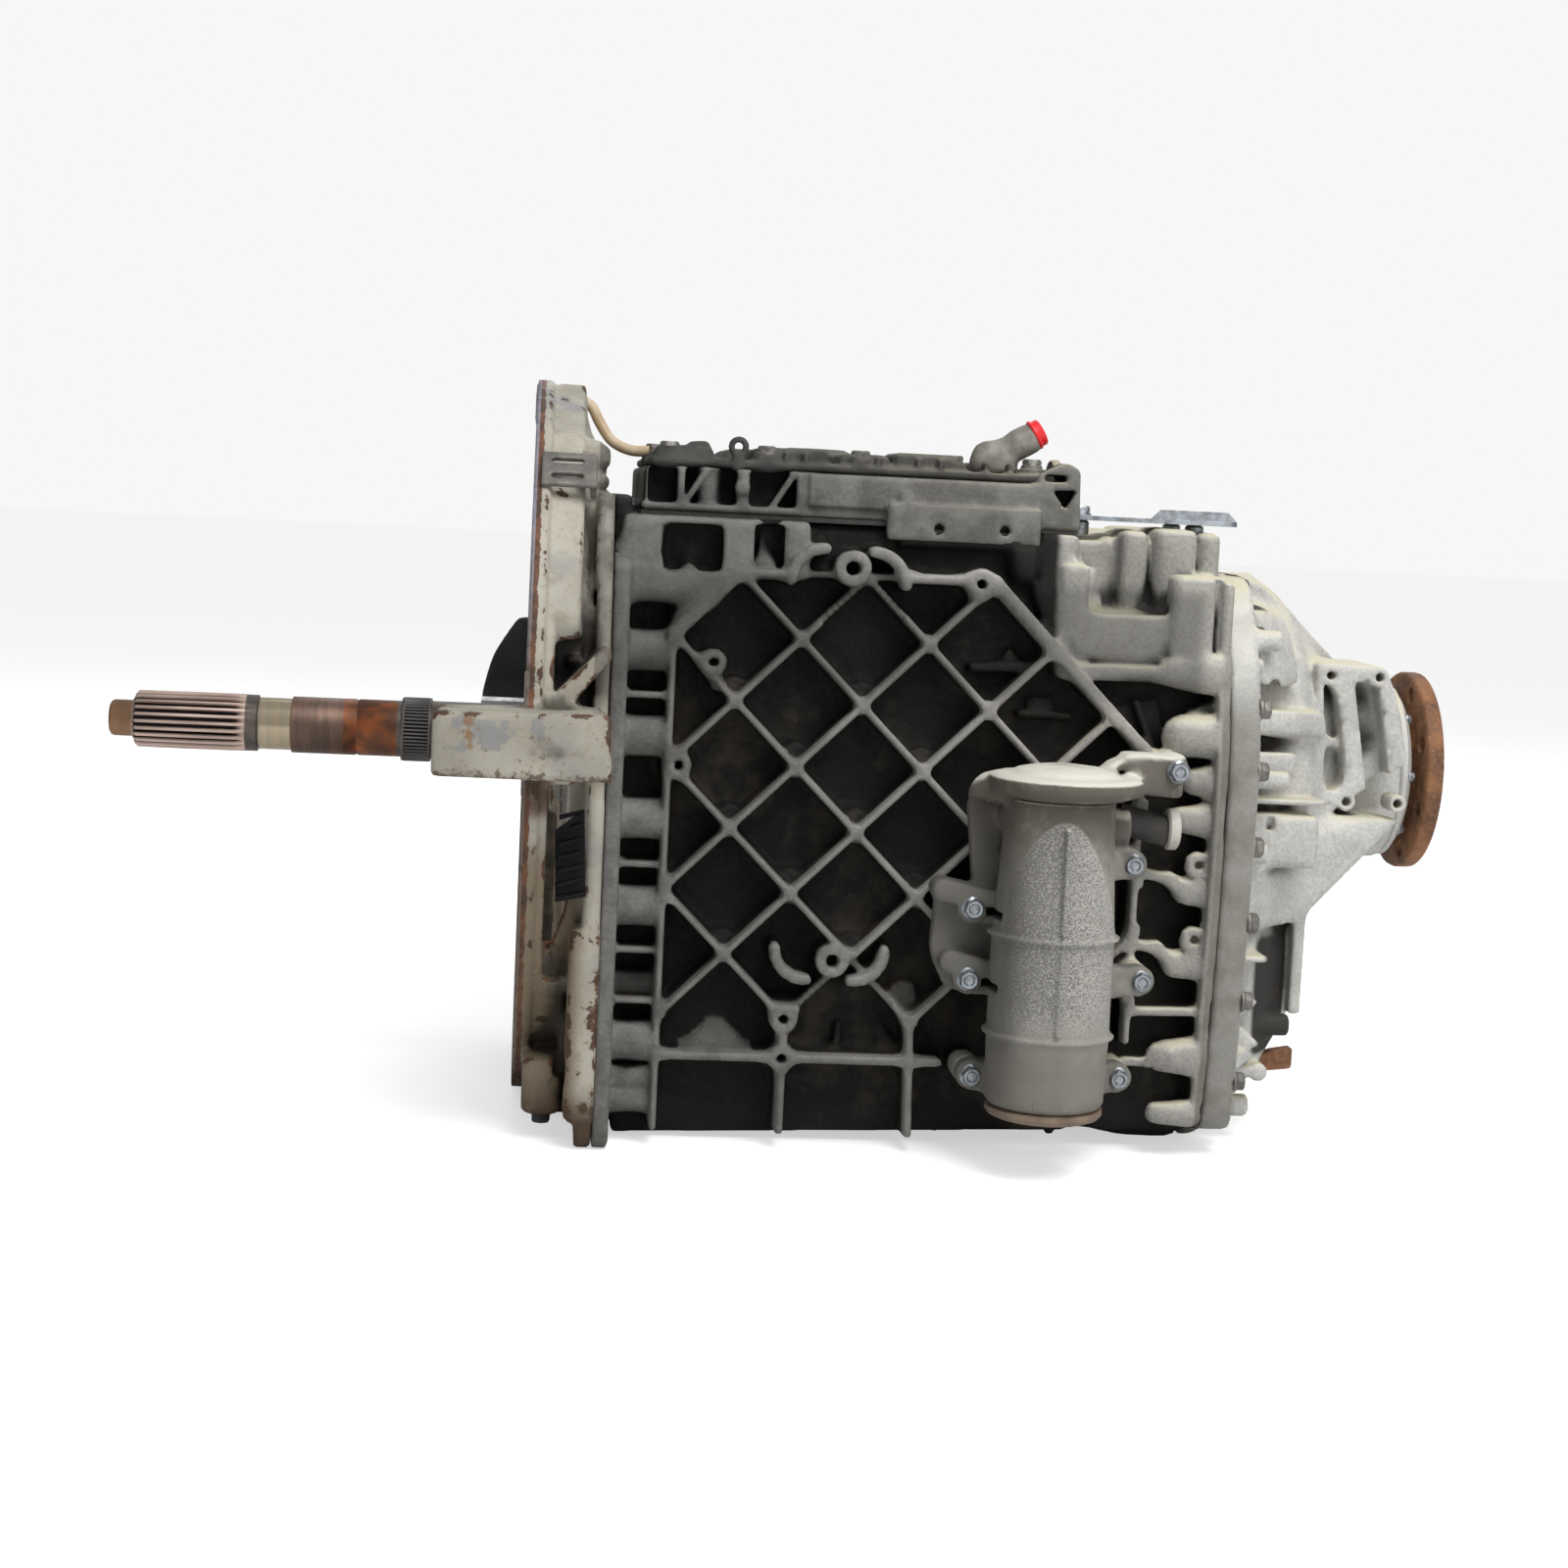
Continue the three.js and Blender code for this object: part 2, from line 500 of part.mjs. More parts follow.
function slidingSleeve(centre) {
  const [a, b] = [centre - SLEEVE_WIDTH / 2, centre + SLEEVE_WIDTH / 2];
  const [c, d] = [centre - GROOVE_WIDTH / 2, centre + GROOVE_WIDTH / 2];
  const inner = HUB_R + SLACK;
  return turned([[a, inner], [a, SLEEVE_R], [c, SLEEVE_R], [c, GROOVE_R], [d, GROOVE_R], [d, SLEEVE_R],
    [b, SLEEVE_R], [b, inner], [a, inner]], 'x');
}
const SPLIT_STATION = 153;
const HIGH_STATION = 246;
const LOW_STATION = 390;
part('splitter_sleeve', slidingSleeve(SPLIT_STATION), gearSteel);
part('high_sleeve', slidingSleeve(HIGH_STATION), gearSteel);
part('low_sleeve', slidingSleeve(LOW_STATION), gearSteel);

// ---------------------------------------------------------------- countershaft, mainshaft and gears
const idlerAngle = Math.atan2(IDLER_AXIS[1] - COUNTER_Z, IDLER_AXIS[0]);

function countershaft() {
  const core = turned([[60, 0], [60, 20], [77, 20], [77, 30], [470, 30], [470, 20], [578, 20], [578, 0]],
    'x', COUNTER_AXIS);
  const wheels = ['splitter', 'third', 'second', 'first'].map((name) => {
    const { from, to, teeth } = GEARS[name];
    return alongX(gearOutline(PAIR_TEETH - teeth, GEAR_MODULE, UP, COUNTER_AXIS), from, to);
  });
  const pinion = alongX(gearOutline(REVERSE_PINION_TEETH, GEAR_MODULE, idlerAngle, COUNTER_AXIS),
    GEARS.reverse.from, GEARS.reverse.to);
  return join(core, wheels, pinion);
}
part('countershaft', countershaft(), gearSteel);

const SUN_FROM = 598;
const SUN_TO = 644;

function mainshaft() {
  const core = turned([[128, 0], [128, 19.5], [175, 19.5], [175, MAIN_R], [226, MAIN_R],
    [226, HUB_R], [266, HUB_R], [266, MAIN_R], [368, MAIN_R], [368, HUB_R], [412, HUB_R], [412, MAIN_R],
    [581, MAIN_R], [581, 30], [SUN_TO, 30], [SUN_TO, 0]], 'x');
  const sun = gearOutline(SUN_TEETH, RANGE_MODULE, Math.PI / SUN_TEETH, [0, 0]);
  return join(core, alongX(sun, SUN_FROM, SUN_TO));
}
part('mainshaft', mainshaft(), gearSteel);
part('third_gear', looseGear(GEARS.third, gapDown(GEARS.third.teeth)), gearSteel);
part('second_gear', looseGear(GEARS.second, gapDown(GEARS.second.teeth)), gearSteel);
part('first_gear', looseGear(GEARS.first, gapDown(GEARS.first.teeth)), gearSteel);

// The idler's gap faces the pinion's tooth, and the reverse gear's gap faces the idler's nearest tooth.
const idlerTooth = idlerAngle + Math.PI + Math.PI / IDLER_TEETH;
const idlerToMain = Math.atan2(-IDLER_AXIS[1], -IDLER_AXIS[0]);
const reverseTooth = idlerToMain + Math.PI - (idlerTooth - idlerToMain) * IDLER_TEETH / REVERSE_TEETH
  + Math.PI / REVERSE_TEETH;
part('reverse_gear', looseGear(GEARS.reverse, reverseTooth), gearSteel);

const IDLER_SHAFT_R = 16;
part('reverse_idler', alongX(gearOutline(IDLER_TEETH, GEAR_MODULE, idlerTooth, IDLER_AXIS),
  GEARS.reverse.from, GEARS.reverse.to, [circle(...IDLER_AXIS, bored(IDLER_SHAFT_R), ROUND)]), gearSteel);
part('idler_shaft', rod('x', IDLER_AXIS, IDLER_SHAFT_R, 400, CASE_REAR - REAR_WALL - GAP, 16), gearSteel);

// ---------------------------------------------------------------- planetary range set and output
part('ring_gear', (() => {
  const outline = toothedOutline(RING_TEETH, RANGE_MODULE * (RING_TEETH / 2 + ROOT_DEPTH),
    RANGE_MODULE * (RING_TEETH / 2 - TIP_HEIGHT), Math.PI / RING_TEETH);
  return alongX(circle(0, 0, 138, 36), 600, 642, [outline]);
})(), gearSteel);

const CARRIER_PLATE = 647;
const PIN_R = 12;
const planetAngles = Array.from({ length: PLANET_COUNT }, (_, i) => 2 * Math.PI * i / PLANET_COUNT);
const planetCentre = (angle) => [PLANET_ORBIT * Math.cos(angle), PLANET_ORBIT * Math.sin(angle)];

function carrierAndShaft() {
  const shaft = turned([[CARRIER_PLATE, 0], [CARRIER_PLATE, 95], [656, 95], [656, 50], [704, 50], [704, 42],
    [770, 42], [770, 35], [800, 35], [800, 20], [816, 20], [816, 0]], 'x');
  const pins = planetAngles.map((angle) => rod('x', planetCentre(angle), PIN_R, 601, CARRIER_PLATE + 2, 10));
  return join(shaft, pins);
}
part('planet_carrier', carrierAndShaft(), gearSteel);

planetAngles.forEach((angle, i) => {
  const centre = planetCentre(angle);
  part(`planet_gear_${i + 1}`, alongX(gearOutline(PLANET_TEETH, RANGE_MODULE, angle, centre), 602, 642,
    [circle(...centre, bored(PIN_R, 10), 10)]), gearSteel);
});

function driveFlange() {
  const body = turned([[795, 36], [775, 36], [775, 56], [801, 58], [801, 90], [FLANGE_REAR, 90],
    [FLANGE_REAR, 46], [807, 42], [807, 36], [795, 36]], 'x', [0, 0], 32);
  const holes = Array.from({ length: 8 }, (_, i) => {
    const angle = (i + 0.5) * Math.PI / 4;
    return rod('x', [76 * Math.cos(angle), 76 * Math.sin(angle)], 7, 795, 825, 6);
  });
  return cut(body, holes);
}
part('output_flange', driveFlange(), rustySteel);
part('flange_nut', alongX(circle(0, 0, 31, 6), 807.5, 815.5, [circle(0, 0, 20.8, 12)]), rustySteel);

// Range sleeve round the carrier plate, and the fork that moves it along its rail.
const RANGE_STATION = 663;
const RANGE_RAIL_Z = 127;
part('range_sleeve', turned([[654, 97], [654, 112], [658, 112], [658, 106], [668, 106], [668, 112],
  [672, 112], [672, 97], [654, 97]], 'x', [0, 0], 24), gearSteel);

function arcPlate(inner, outer, fromAngle, toAngle, from, to, steps = 8) {
  const sweep = (radius, a, b) => Array.from({ length: steps + 1 }, (_, i) => {
    const angle = a + (b - a) * i / steps;
    return [radius * Math.cos(angle), radius * Math.sin(angle)];
  });
  return alongX([...sweep(outer, fromAngle, toAngle), ...sweep(inner, toAngle, fromAngle)], from, to);
}
const rangeFork = cut(
  join(
    arcPlate(107.5, 116.5, 0.25, Math.PI - 0.25, RANGE_STATION - 4, RANGE_STATION + 4),
    rod('x', [0, RANGE_RAIL_Z], 13.5, RANGE_STATION - 10, RANGE_STATION + 10, 14),
  ),
  rod('x', [0, RANGE_RAIL_Z], 7 + SLACK, 600, 700, 14),
);
part('range_fork', rangeFork, bronze);
part('range_rail', rod('x', [0, RANGE_RAIL_Z], 7, 645, 680, 12), gearSteel);

// ---------------------------------------------------------------- shift forks and rails
function shiftFork(station, side) {
  const [from, to] = [station - FORK_WIDTH / 2, station + FORK_WIDTH / 2];
  const hub = [side * RAIL_Y, RAIL_Z];
  const yoke = arcPlate(GROOVE_R + 1.5, SLEEVE_R + 12, -0.15, Math.PI + 0.15, from, to);
  const arm = alongX([[side * 10, SLEEVE_R], [side * 52, SLEEVE_R - 14], [side * 76, RAIL_Z],
    [side * 44, RAIL_Z]], from, to);
  const barrel = rod('x', hub, 17, station - 14, station + 14, 12);
  const clear = rod('x', [0, 0], GROOVE_R + 1.5, station - 20, station + 20, ROUND);
  return cut(join(yoke, arm, barrel), rod('x', hub, RAIL_R + SLACK, station - 20, station + 20, 12), clear);
}
part('splitter_fork', shiftFork(SPLIT_STATION, -1), bronze);
part('high_fork', shiftFork(HIGH_STATION, 1), bronze);
part('low_fork', shiftFork(LOW_STATION, -1), bronze);
for (const [name, side] of [['left_rail', -1], ['right_rail', 1]]) {
  part(name, rod('x', [side * RAIL_Y, RAIL_Z], RAIL_R, 64, CASE_REAR - REAR_WALL - GAP, 12), gearSteel);
}

// Selector shaft in the control housing: it turns to choose a fork and its finger slides to move it.
part('selector_shaft', rod('x', [0, 224], 9.5, 92, 400, 14), gearSteel);
const finger = cut(
  join(ring('x', [0, 224], 9.5 + SLACK, 13, 246, 278, 14), box(257, 267, -7, 7, 188, 215)),
  rod('x', [0, 224], 9.5 + SLACK, 240, 284, 14),
);
part('selector_finger', finger, gearSteel);

// ---------------------------------------------------------------- bearings, oil pump, clutch release
const bearing = (axis, inner, outer, from, to) => ring('x', axis, bored(inner), outer - GAP, from, to);
part('input_bearing', bearing([0, 0], 30, INPUT_BORE, 52, 75), bearingSteel);
part('counter_front_bearing', bearing(COUNTER_AXIS, 20, COUNTER_BORE, 60, 76), bearingSteel);
part('counter_rear_bearing', bearing(COUNTER_AXIS, 20, COUNTER_BORE, 558, 578), bearingSteel);
part('mainshaft_bearing', bearing([0, 0], MAIN_R, 62, 556, 580), bearingSteel);
part('output_bearing', bearing([0, 0], 42, OUTPUT_BORE, 710, 752), bearingSteel);
part('oil_pump', cut(
  alongX(rounded([[-60, -225, 15], [60, -225, 15], [60, -105, 15], [-60, -105, 15]]), 500, 555.5),
  rod('x', COUNTER_AXIS, bored(20), 490, 560),
), castAluminium);

part('release_guide_tube', turned([[-40, 27.5], [-40, 32], [34, 32], [34, 66], [40.5, 66], [40.5, 27.5],
  [-40, 27.5]], 'x'), gearSteel);
part('release_bearing', turned([[-2, 32.6], [-2, 56], [4, 60], [12, 60], [12, 44], [30, 44], [30, 32.6],
  [-2, 32.6]], 'x'), bearingSteel);

// Release lever: forked round the release bearing's neck, pivoting near the far side of the housing.
const lever = join(
  alongX([[46, -44], [60, -44], [60, 44], [46, 44]], 14, 28),
  alongX([[60, -16], [215, -12], [215, 12], [60, 16]], 16, 28),
);
part('release_lever', lever, gearSteel);

// ---------------------------------------------------------------- put the origin under the middle
const bounds = new THREE.Box3().setFromObject(assembly);
const centre = bounds.getCenter(new THREE.Vector3());
assembly.position.set(-centre.x, -centre.y, -bounds.min.z);

export default assembly;
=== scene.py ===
# Looks for the heavy-truck transmission: castings, shafts, fasteners, pipes, materials, light and camera.
# Shapes are written in millimetres in the axis frame: X = 0 at the clutch housing's engine face,
# Y = Z = 0 on the input shaft's axis. ORIGIN carries that frame into the row frame, in metres.
import json
import math

import bmesh
import bpy
import numpy as np
import openvdb
from mathutils import Matrix, Vector


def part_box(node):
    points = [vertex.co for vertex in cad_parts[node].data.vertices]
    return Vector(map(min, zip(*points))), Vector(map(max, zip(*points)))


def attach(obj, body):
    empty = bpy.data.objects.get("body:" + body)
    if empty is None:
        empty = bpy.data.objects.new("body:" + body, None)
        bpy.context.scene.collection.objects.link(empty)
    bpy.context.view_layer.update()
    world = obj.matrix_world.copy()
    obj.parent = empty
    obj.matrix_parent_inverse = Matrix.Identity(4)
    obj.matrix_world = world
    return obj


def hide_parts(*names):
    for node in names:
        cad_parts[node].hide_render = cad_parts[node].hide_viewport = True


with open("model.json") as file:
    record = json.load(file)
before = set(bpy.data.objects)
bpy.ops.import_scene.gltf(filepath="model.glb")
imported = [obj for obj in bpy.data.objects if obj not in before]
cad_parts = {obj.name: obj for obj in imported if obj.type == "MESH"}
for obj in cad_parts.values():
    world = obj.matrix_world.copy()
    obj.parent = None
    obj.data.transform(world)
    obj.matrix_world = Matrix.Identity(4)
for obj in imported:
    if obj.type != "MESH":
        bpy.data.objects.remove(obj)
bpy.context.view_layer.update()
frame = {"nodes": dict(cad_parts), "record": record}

MM = 0.001
SHAFT_TIP = -365
tip_low, tip_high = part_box("input_shaft")
ORIGIN = np.array([tip_low.x - SHAFT_TIP * MM, (tip_low.y + tip_high.y) / 2, (tip_low.z + tip_high.z) / 2])
COARSE = 1.0

# Axis of the oil filter and the foot of its barrel.
FILTER_X, FILTER_Y, FILTER_BOTTOM = 430, -303, -256


def row(points):
    """Axis-frame millimetres to row-frame metres."""
    return ORIGIN + np.asarray(points, float) * MM


# ---------------------------------------------------------------- outlines: distance in a plane
# An outline is (low u, low v, high u, high v, distance(u, v)).
def disc(u, v, radius):
    return u - radius, v - radius, u + radius, v + radius, lambda a, b: np.hypot(a - u, b - v) - radius


def rect(u, v, radius=0):
    (u0, u1), (v0, v1) = u, v

    def distance(a, b):
        p = np.abs(a - (u0 + u1) / 2) - (u1 - u0) / 2 + radius
        q = np.abs(b - (v0 + v1) / 2) - (v1 - v0) / 2 + radius
        return np.hypot(np.maximum(p, 0), np.maximum(q, 0)) + np.minimum(np.maximum(p, q), 0) - radius

    return u0, v0, u1, v1, distance


def bar(start, end, width, end_width=None):
    """A strip between two points with round ends, from one width to another."""
    (au, av), (bu, bv) = start, end
    w0, w1 = width / 2, (width if end_width is None else end_width) / 2
    du, dv = bu - au, bv - av
    square = du * du + dv * dv

    def distance(a, b):
        t = np.clip(((a - au) * du + (b - av) * dv) / square, 0, 1)
        return np.hypot(a - au - t * du, b - av - t * dv) - (w0 + (w1 - w0) * t)

    wide = max(w0, w1)
    return min(au, bu) - wide, min(av, bv) - wide, max(au, bu) + wide, max(av, bv) + wide, distance


def hook(u, v, radius, from_deg, to_deg, width):
    """A round-ended arc."""
    mid, half = math.radians((from_deg + to_deg) / 2), math.radians((to_deg - from_deg) / 2)
    ends = [(u + radius * math.cos(mid + s * half), v + radius * math.sin(mid + s * half)) for s in (-1, 1)]

    def distance(a, b):
        p, q = a - u, b - v
        off = np.abs((np.arctan2(q, p) - mid + math.pi) % (2 * math.pi) - math.pi)
        along = np.abs(np.hypot(p, q) - radius)
        tip = np.minimum(*[np.hypot(a - e[0], b - e[1]) for e in ends])
        return np.where(off < half, along, tip) - width / 2

    reach = radius + width
    return u - reach, v - reach, u + reach, v + reach, distance


def convex(points, soft=0):
    """A convex polygon whose corners are softened."""
    centre = np.mean(points, axis=0)
    sides = []
    for i, a in enumerate(points):
        b = points[(i + 1) % len(points)]
        n = np.array([b[1] - a[1], a[0] - b[0]], float)
        n /= np.linalg.norm(n)
        if n @ (np.array(a) - centre) < 0:
            n = -n
        sides.append((n[0], n[1], n @ np.array(a)))

    def distance(a, b):
        d = None
        for nu, nv, c in sides:
            e = nu * a + nv * b - c
            d = e if d is None else smooth_max(d, e, soft)
        return d

    us, vs = zip(*points)
    return min(us), min(vs), max(us), max(vs), distance


def joined(outlines, soft):
    def distance(a, b):
        d = outlines[0][4](a, b)
        for o in outlines[1:]:
            d = smooth_min(d, o[4](a, b), soft)
        return d

    lows = [min(o[i] for o in outlines) for i in (0, 1)]
    highs = [max(o[i] for o in outlines) for i in (2, 3)]
    return (*lows, *highs, distance)


def smooth_min(a, b, soft):
    low = np.minimum(a, b)
    if soft <= 0:
        return low
    h = np.maximum(soft - np.abs(a - b), 0)
    return low - h * h / (4 * soft)


def smooth_max(a, b, soft):
    return -smooth_min(-a, -b, soft)


# ---------------------------------------------------------------- shapes: distance in space
# A shape is (low corner, high corner, distance(x, y, z)).
def rounded_pair(p, q, edge):
    """Distance to the meet of two walls whose common edge is rounded."""
    p, q = p + edge, q + edge
    return np.hypot(np.maximum(p, 0), np.maximum(q, 0)) + np.minimum(np.maximum(p, q), 0) - edge


def prism(axis, outline, start, end, edge=2, draft=0):
    """An outline carried along an axis. With draft it widens from start towards end."""
    k = "xyz".index(axis)
    others = [i for i in range(3) if i != k]
    low, high = [0] * 3, [0] * 3
    for i, j in enumerate(others):
        low[j], high[j] = outline[i], outline[i + 2]
    mid, half = (start + end) / 2, abs(end - start) / 2

    def distance(*p):
        flat = outline[4](p[others[0]], p[others[1]])
        if draft:
            flat = flat - draft * (p[k] - start) * (1 if end > start else -1)
        return rounded_pair(flat, np.abs(p[k] - mid) - half, edge)

    low[k], high[k] = min(start, end), max(start, end)
    return low, high, distance


def rod(axis, centre, radius, start, end, edge=2):
    return prism(axis, disc(*centre, radius), start, end, edge)


def block(x, y, z, edge=3):
    (x0, x1), (y0, y1), (z0, z1) = x, y, z

    def distance(a, b, c):
        p = np.abs(a - (x0 + x1) / 2) - (x1 - x0) / 2 + edge
        q = np.abs(b - (y0 + y1) / 2) - (y1 - y0) / 2 + edge
        r = np.abs(c - (z0 + z1) / 2) - (z1 - z0) / 2 + edge
        out = np.sqrt(np.maximum(p, 0) ** 2 + np.maximum(q, 0) ** 2 + np.maximum(r, 0) ** 2)
        return out + np.minimum(np.maximum(np.maximum(p, q), r), 0) - edge

    return [x0, y0, z0], [x1, y1, z1], distance


def turned(axis, centre, profile):
    """A closed [station, radius] profile turned about an axis."""
    k = "xyz".index(axis)
    others = [i for i in range(3) if i != k]
    profile = [np.array(p, float) for p in profile]
    wide = max(p[1] for p in profile)
    low, high = [0] * 3, [0] * 3
    low[k], high[k] = min(p[0] for p in profile), max(p[0] for p in profile)
    for i, j in enumerate(others):
        low[j], high[j] = centre[i] - wide, centre[i] + wide

    def distance(*p):
        s = p[k]
        r = np.hypot(p[others[0]] - centre[0], p[others[1]] - centre[1])
        near, inside = None, False
        for i, a in enumerate(profile):
            b = profile[(i + 1) % len(profile)]
            e, ws, wr = b - a, s - a[0], r - a[1]
            t = np.clip((ws * e[0] + wr * e[1]) / max(e @ e, 1e-9), 0, 1)
            d = (ws - e[0] * t) ** 2 + (wr - e[1] * t) ** 2
            near = d if near is None else np.minimum(near, d)
            crosses = ((r >= a[1]) != (r >= b[1])) & (ws * e[1] * np.sign(e[1]) < e[0] * wr * np.sign(e[1]))
            inside = inside ^ crosses
        return np.where(inside, -1, 1) * np.sqrt(near)

    return low, high, distance


SAME_SLOPE, SAME_PLANE = 0.9995, 0.5      # two facets of a hull within these count as one


def hull(points, edge=4):
    """The convex hull of some points, its edges softened."""
    bm = bmesh.new()
    for p in points:
        bm.verts.new(p)
    bmesh.ops.convex_hull(bm, input=bm.verts[:])
    planes = []
    middle = Vector(np.mean(points, axis=0))
    bm.normal_update()
    for f in bm.faces:
        n = f.normal.copy()
        if n.dot(f.verts[0].co - middle) < 0:
            n = -n
        c = n.dot(f.verts[0].co)
        if not any(n.dot(m) > SAME_SLOPE and abs(c - e) < SAME_PLANE for m, e in planes):
            planes.append((n, c))
    bm.free()

    def distance(x, y, z):
        d = None
        for n, c in planes:
            e = n.x * x + n.y * y + n.z * z - c
            d = e if d is None else smooth_max(d, e, edge)
        return d

    return list(np.min(points, axis=0)), list(np.max(points, axis=0)), distance


def tube(points, radius, end_radius=None):
    """Round bars from point to point, from one radius to another."""
    points = [np.array(p, float) for p in points]
    last = radius if end_radius is None else end_radius
    radii = np.linspace(radius, last, len(points))
    wide = max(radius, last)

    def distance(x, y, z):
        near = None
        for a, b, r0, r1 in zip(points, points[1:], radii, radii[1:]):
            e = b - a
            t = np.clip(((x - a[0]) * e[0] + (y - a[1]) * e[1] + (z - a[2]) * e[2]) / (e @ e), 0, 1)
            d = np.sqrt((x - a[0] - t * e[0]) ** 2 + (y - a[1] - t * e[1]) ** 2 + (z - a[2] - t * e[2]) ** 2)
            d = d - (r0 + (r1 - r0) * t)
            near = d if near is None else np.minimum(near, d)
        return near

    return list(np.min(points, axis=0) - wide), list(np.max(points, axis=0) + wide), distance


# ---------------------------------------------------------------- castings
FAR = 60.0            # distance given to cells that no shape has reached
MARGIN = 6            # how far round a shape its cells are worked out, beyond its blend
BAND = 3.0            # cells either side of the surface that the mesher is given
HOLLOW_REACH = 20      # radius over which a casting's hollows are measured
EDGE_REACH = 4        # radius over which its edges are measured


def spaced(runs):
    """Grid lines over runs of (from, to, step)."""
    lines = []
    for a, b, step in runs:
        count = max(2, int(round((b - a) / (step * COARSE))))
        lines.extend(np.linspace(a, b, count, endpoint=False))
    lines.append(runs[-1][1])
    return np.array(lines, np.float32)


def averaged(values, reach):
    """Box average of a grid along each axis, over reach cells either way."""
    for axis, r in enumerate(reach):
        r = max(1, min(r, values.shape[axis] // 2 - 1))
        padding = [(0, 0)] * 3
        padding[axis] = (r + 1, r)
        total = np.cumsum(np.pad(values, padding, mode="edge"), axis=axis, dtype=np.float32)
        n = values.shape[axis]
        ahead = np.take(total, range(2 * r + 1, 2 * r + 1 + n), axis=axis)
        values = (ahead - np.take(total, range(n), axis=axis)) / (2 * r + 1)
    return values


def sampled(values, at):
    """Trilinear samples of a grid at points in cell units."""
    top = np.array(values.shape) - 1
    at = np.clip(at, 0, top - 1e-3)
    cell = at.astype(int)
    part = at - cell
    found = np.zeros(len(at))
    for corner in np.ndindex(2, 2, 2):
        weight = np.prod([part[:, i] if c else 1 - part[:, i] for i, c in enumerate(corner)], axis=0)
        found += weight * values[tuple((cell + corner).T)]
    return found


class Casting:
    """A body with blended edges, kept as a distance grid in the axis frame."""

    def __init__(self, x, y, z):
        self.axes = [spaced(x), spaced(y), spaced(z)]
        self.field = np.full([len(a) for a in self.axes], FAR, np.float32)

    def _window(self, low, high, pad):
        cells, grids = [], []
        for k, (axis, a, b) in enumerate(zip(self.axes, low, high)):
            i = max(int(np.searchsorted(axis, a - pad)) - 1, 0)
            j = min(int(np.searchsorted(axis, b + pad)) + 1, len(axis))
            shape = [1, 1, 1]
            shape[k] = -1
            cells.append(slice(i, max(j, i + 1)))
            grids.append(axis[cells[-1]].reshape(shape))
        return tuple(cells), grids

    def add(self, shape, soft=3):
        low, high, distance = shape
        cells, grids = self._window(low, high, soft + MARGIN)
        self.field[cells] = smooth_min(self.field[cells], distance(*grids), soft)

    def cut(self, shape, soft=2):
        low, high, distance = shape
        cells, grids = self._window(low, high, soft + MARGIN)
        self.field[cells] = smooth_max(self.field[cells], -distance(*grids), soft)

    def keep(self, shape, soft=2):
        """Cuts away all that lies outside a shape, within this grid."""
        grids = self._window([a[0] for a in self.axes], [a[-1] for a in self.axes], MARGIN)[1]
        self.field = smooth_max(self.field, shape[2](*grids).astype(np.float32), soft)

    def piece(self, name, material, nodes, slot, adaptivity=0.12, body="housing"):
        steps = [float(np.min(np.diff(a))) for a in self.axes]
        values = np.clip(self.field / min(steps), -BAND, BAND)
        grid = openvdb.FloatGrid(BAND)
        grid.copyFromArray(values)
        points, triangles, quads = grid.convertToPolygons(0.0, adaptivity)
        at = np.array([np.interp(points[:, i], np.arange(len(a)), a) for i, a in enumerate(self.axes)]).T
        mesh = faces_to_mesh(name, row(at), triangles, quads)
        solid = (self.field < 0).astype(np.float32)
        near = [max(1, round(EDGE_REACH / np.median(np.diff(a)))) for a in self.axes]
        store(mesh, "edge", sampled(averaged(solid, near), points))
        half = solid[::2, ::2, ::2]
        wide = [max(1, round(HOLLOW_REACH / np.median(np.diff(a)) / 2)) for a in self.axes]
        store(mesh, "hollow", sampled(averaged(averaged(half, wide), [max(1, w // 2) for w in wide]),
                                      points / 2))
        return placed(name, mesh, material, nodes, body)


def store(mesh, name, values):
    attribute = mesh.attributes.new(name, "FLOAT", "POINT")
    attribute.data.foreach_set("value", np.asarray(values, np.float32))


def faces_to_mesh(name, points, triangles, quads):
    mesh = bpy.data.meshes.new(name)
    mesh.vertices.add(len(points))
    mesh.vertices.foreach_set("co", np.asarray(points, np.float32).ravel())
    corners = np.concatenate([triangles.ravel(), quads.ravel()]).astype(np.int32)
    sizes = np.concatenate([np.full(len(triangles), 3), np.full(len(quads), 4)]).astype(np.int32)
    starts = np.concatenate([[0], np.cumsum(sizes)[:-1]]).astype(np.int32)
    mesh.loops.add(len(corners))
    mesh.loops.foreach_set("vertex_index", corners)
    mesh.polygons.add(len(sizes))
    mesh.polygons.foreach_set("loop_start", starts)
    mesh.update(calc_edges=True)
    mesh.validate()
    if signed_volume(mesh) < 0:
        mesh.flip_normals()
    mesh.shade_smooth()
    return mesh


def signed_volume(mesh):
    bm = bmesh.new()
    bm.from_mesh(mesh)
    volume = bm.calc_volume(signed=True)
    bm.free()
    return volume


def placed(name, mesh, material, nodes, body="housing"):
    piece = bpy.data.objects.new(name, mesh)
    bpy.context.scene.collection.objects.link(piece)
    mesh.materials.append(material)
    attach(piece, body)
    if nodes:
        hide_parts(*nodes)
    return piece


# ---------------------------------------------------------------- hard-surface pieces
AXES = {"x": (0, 1, 2), "y": (1, 0, 2), "z": (2, 0, 1)}


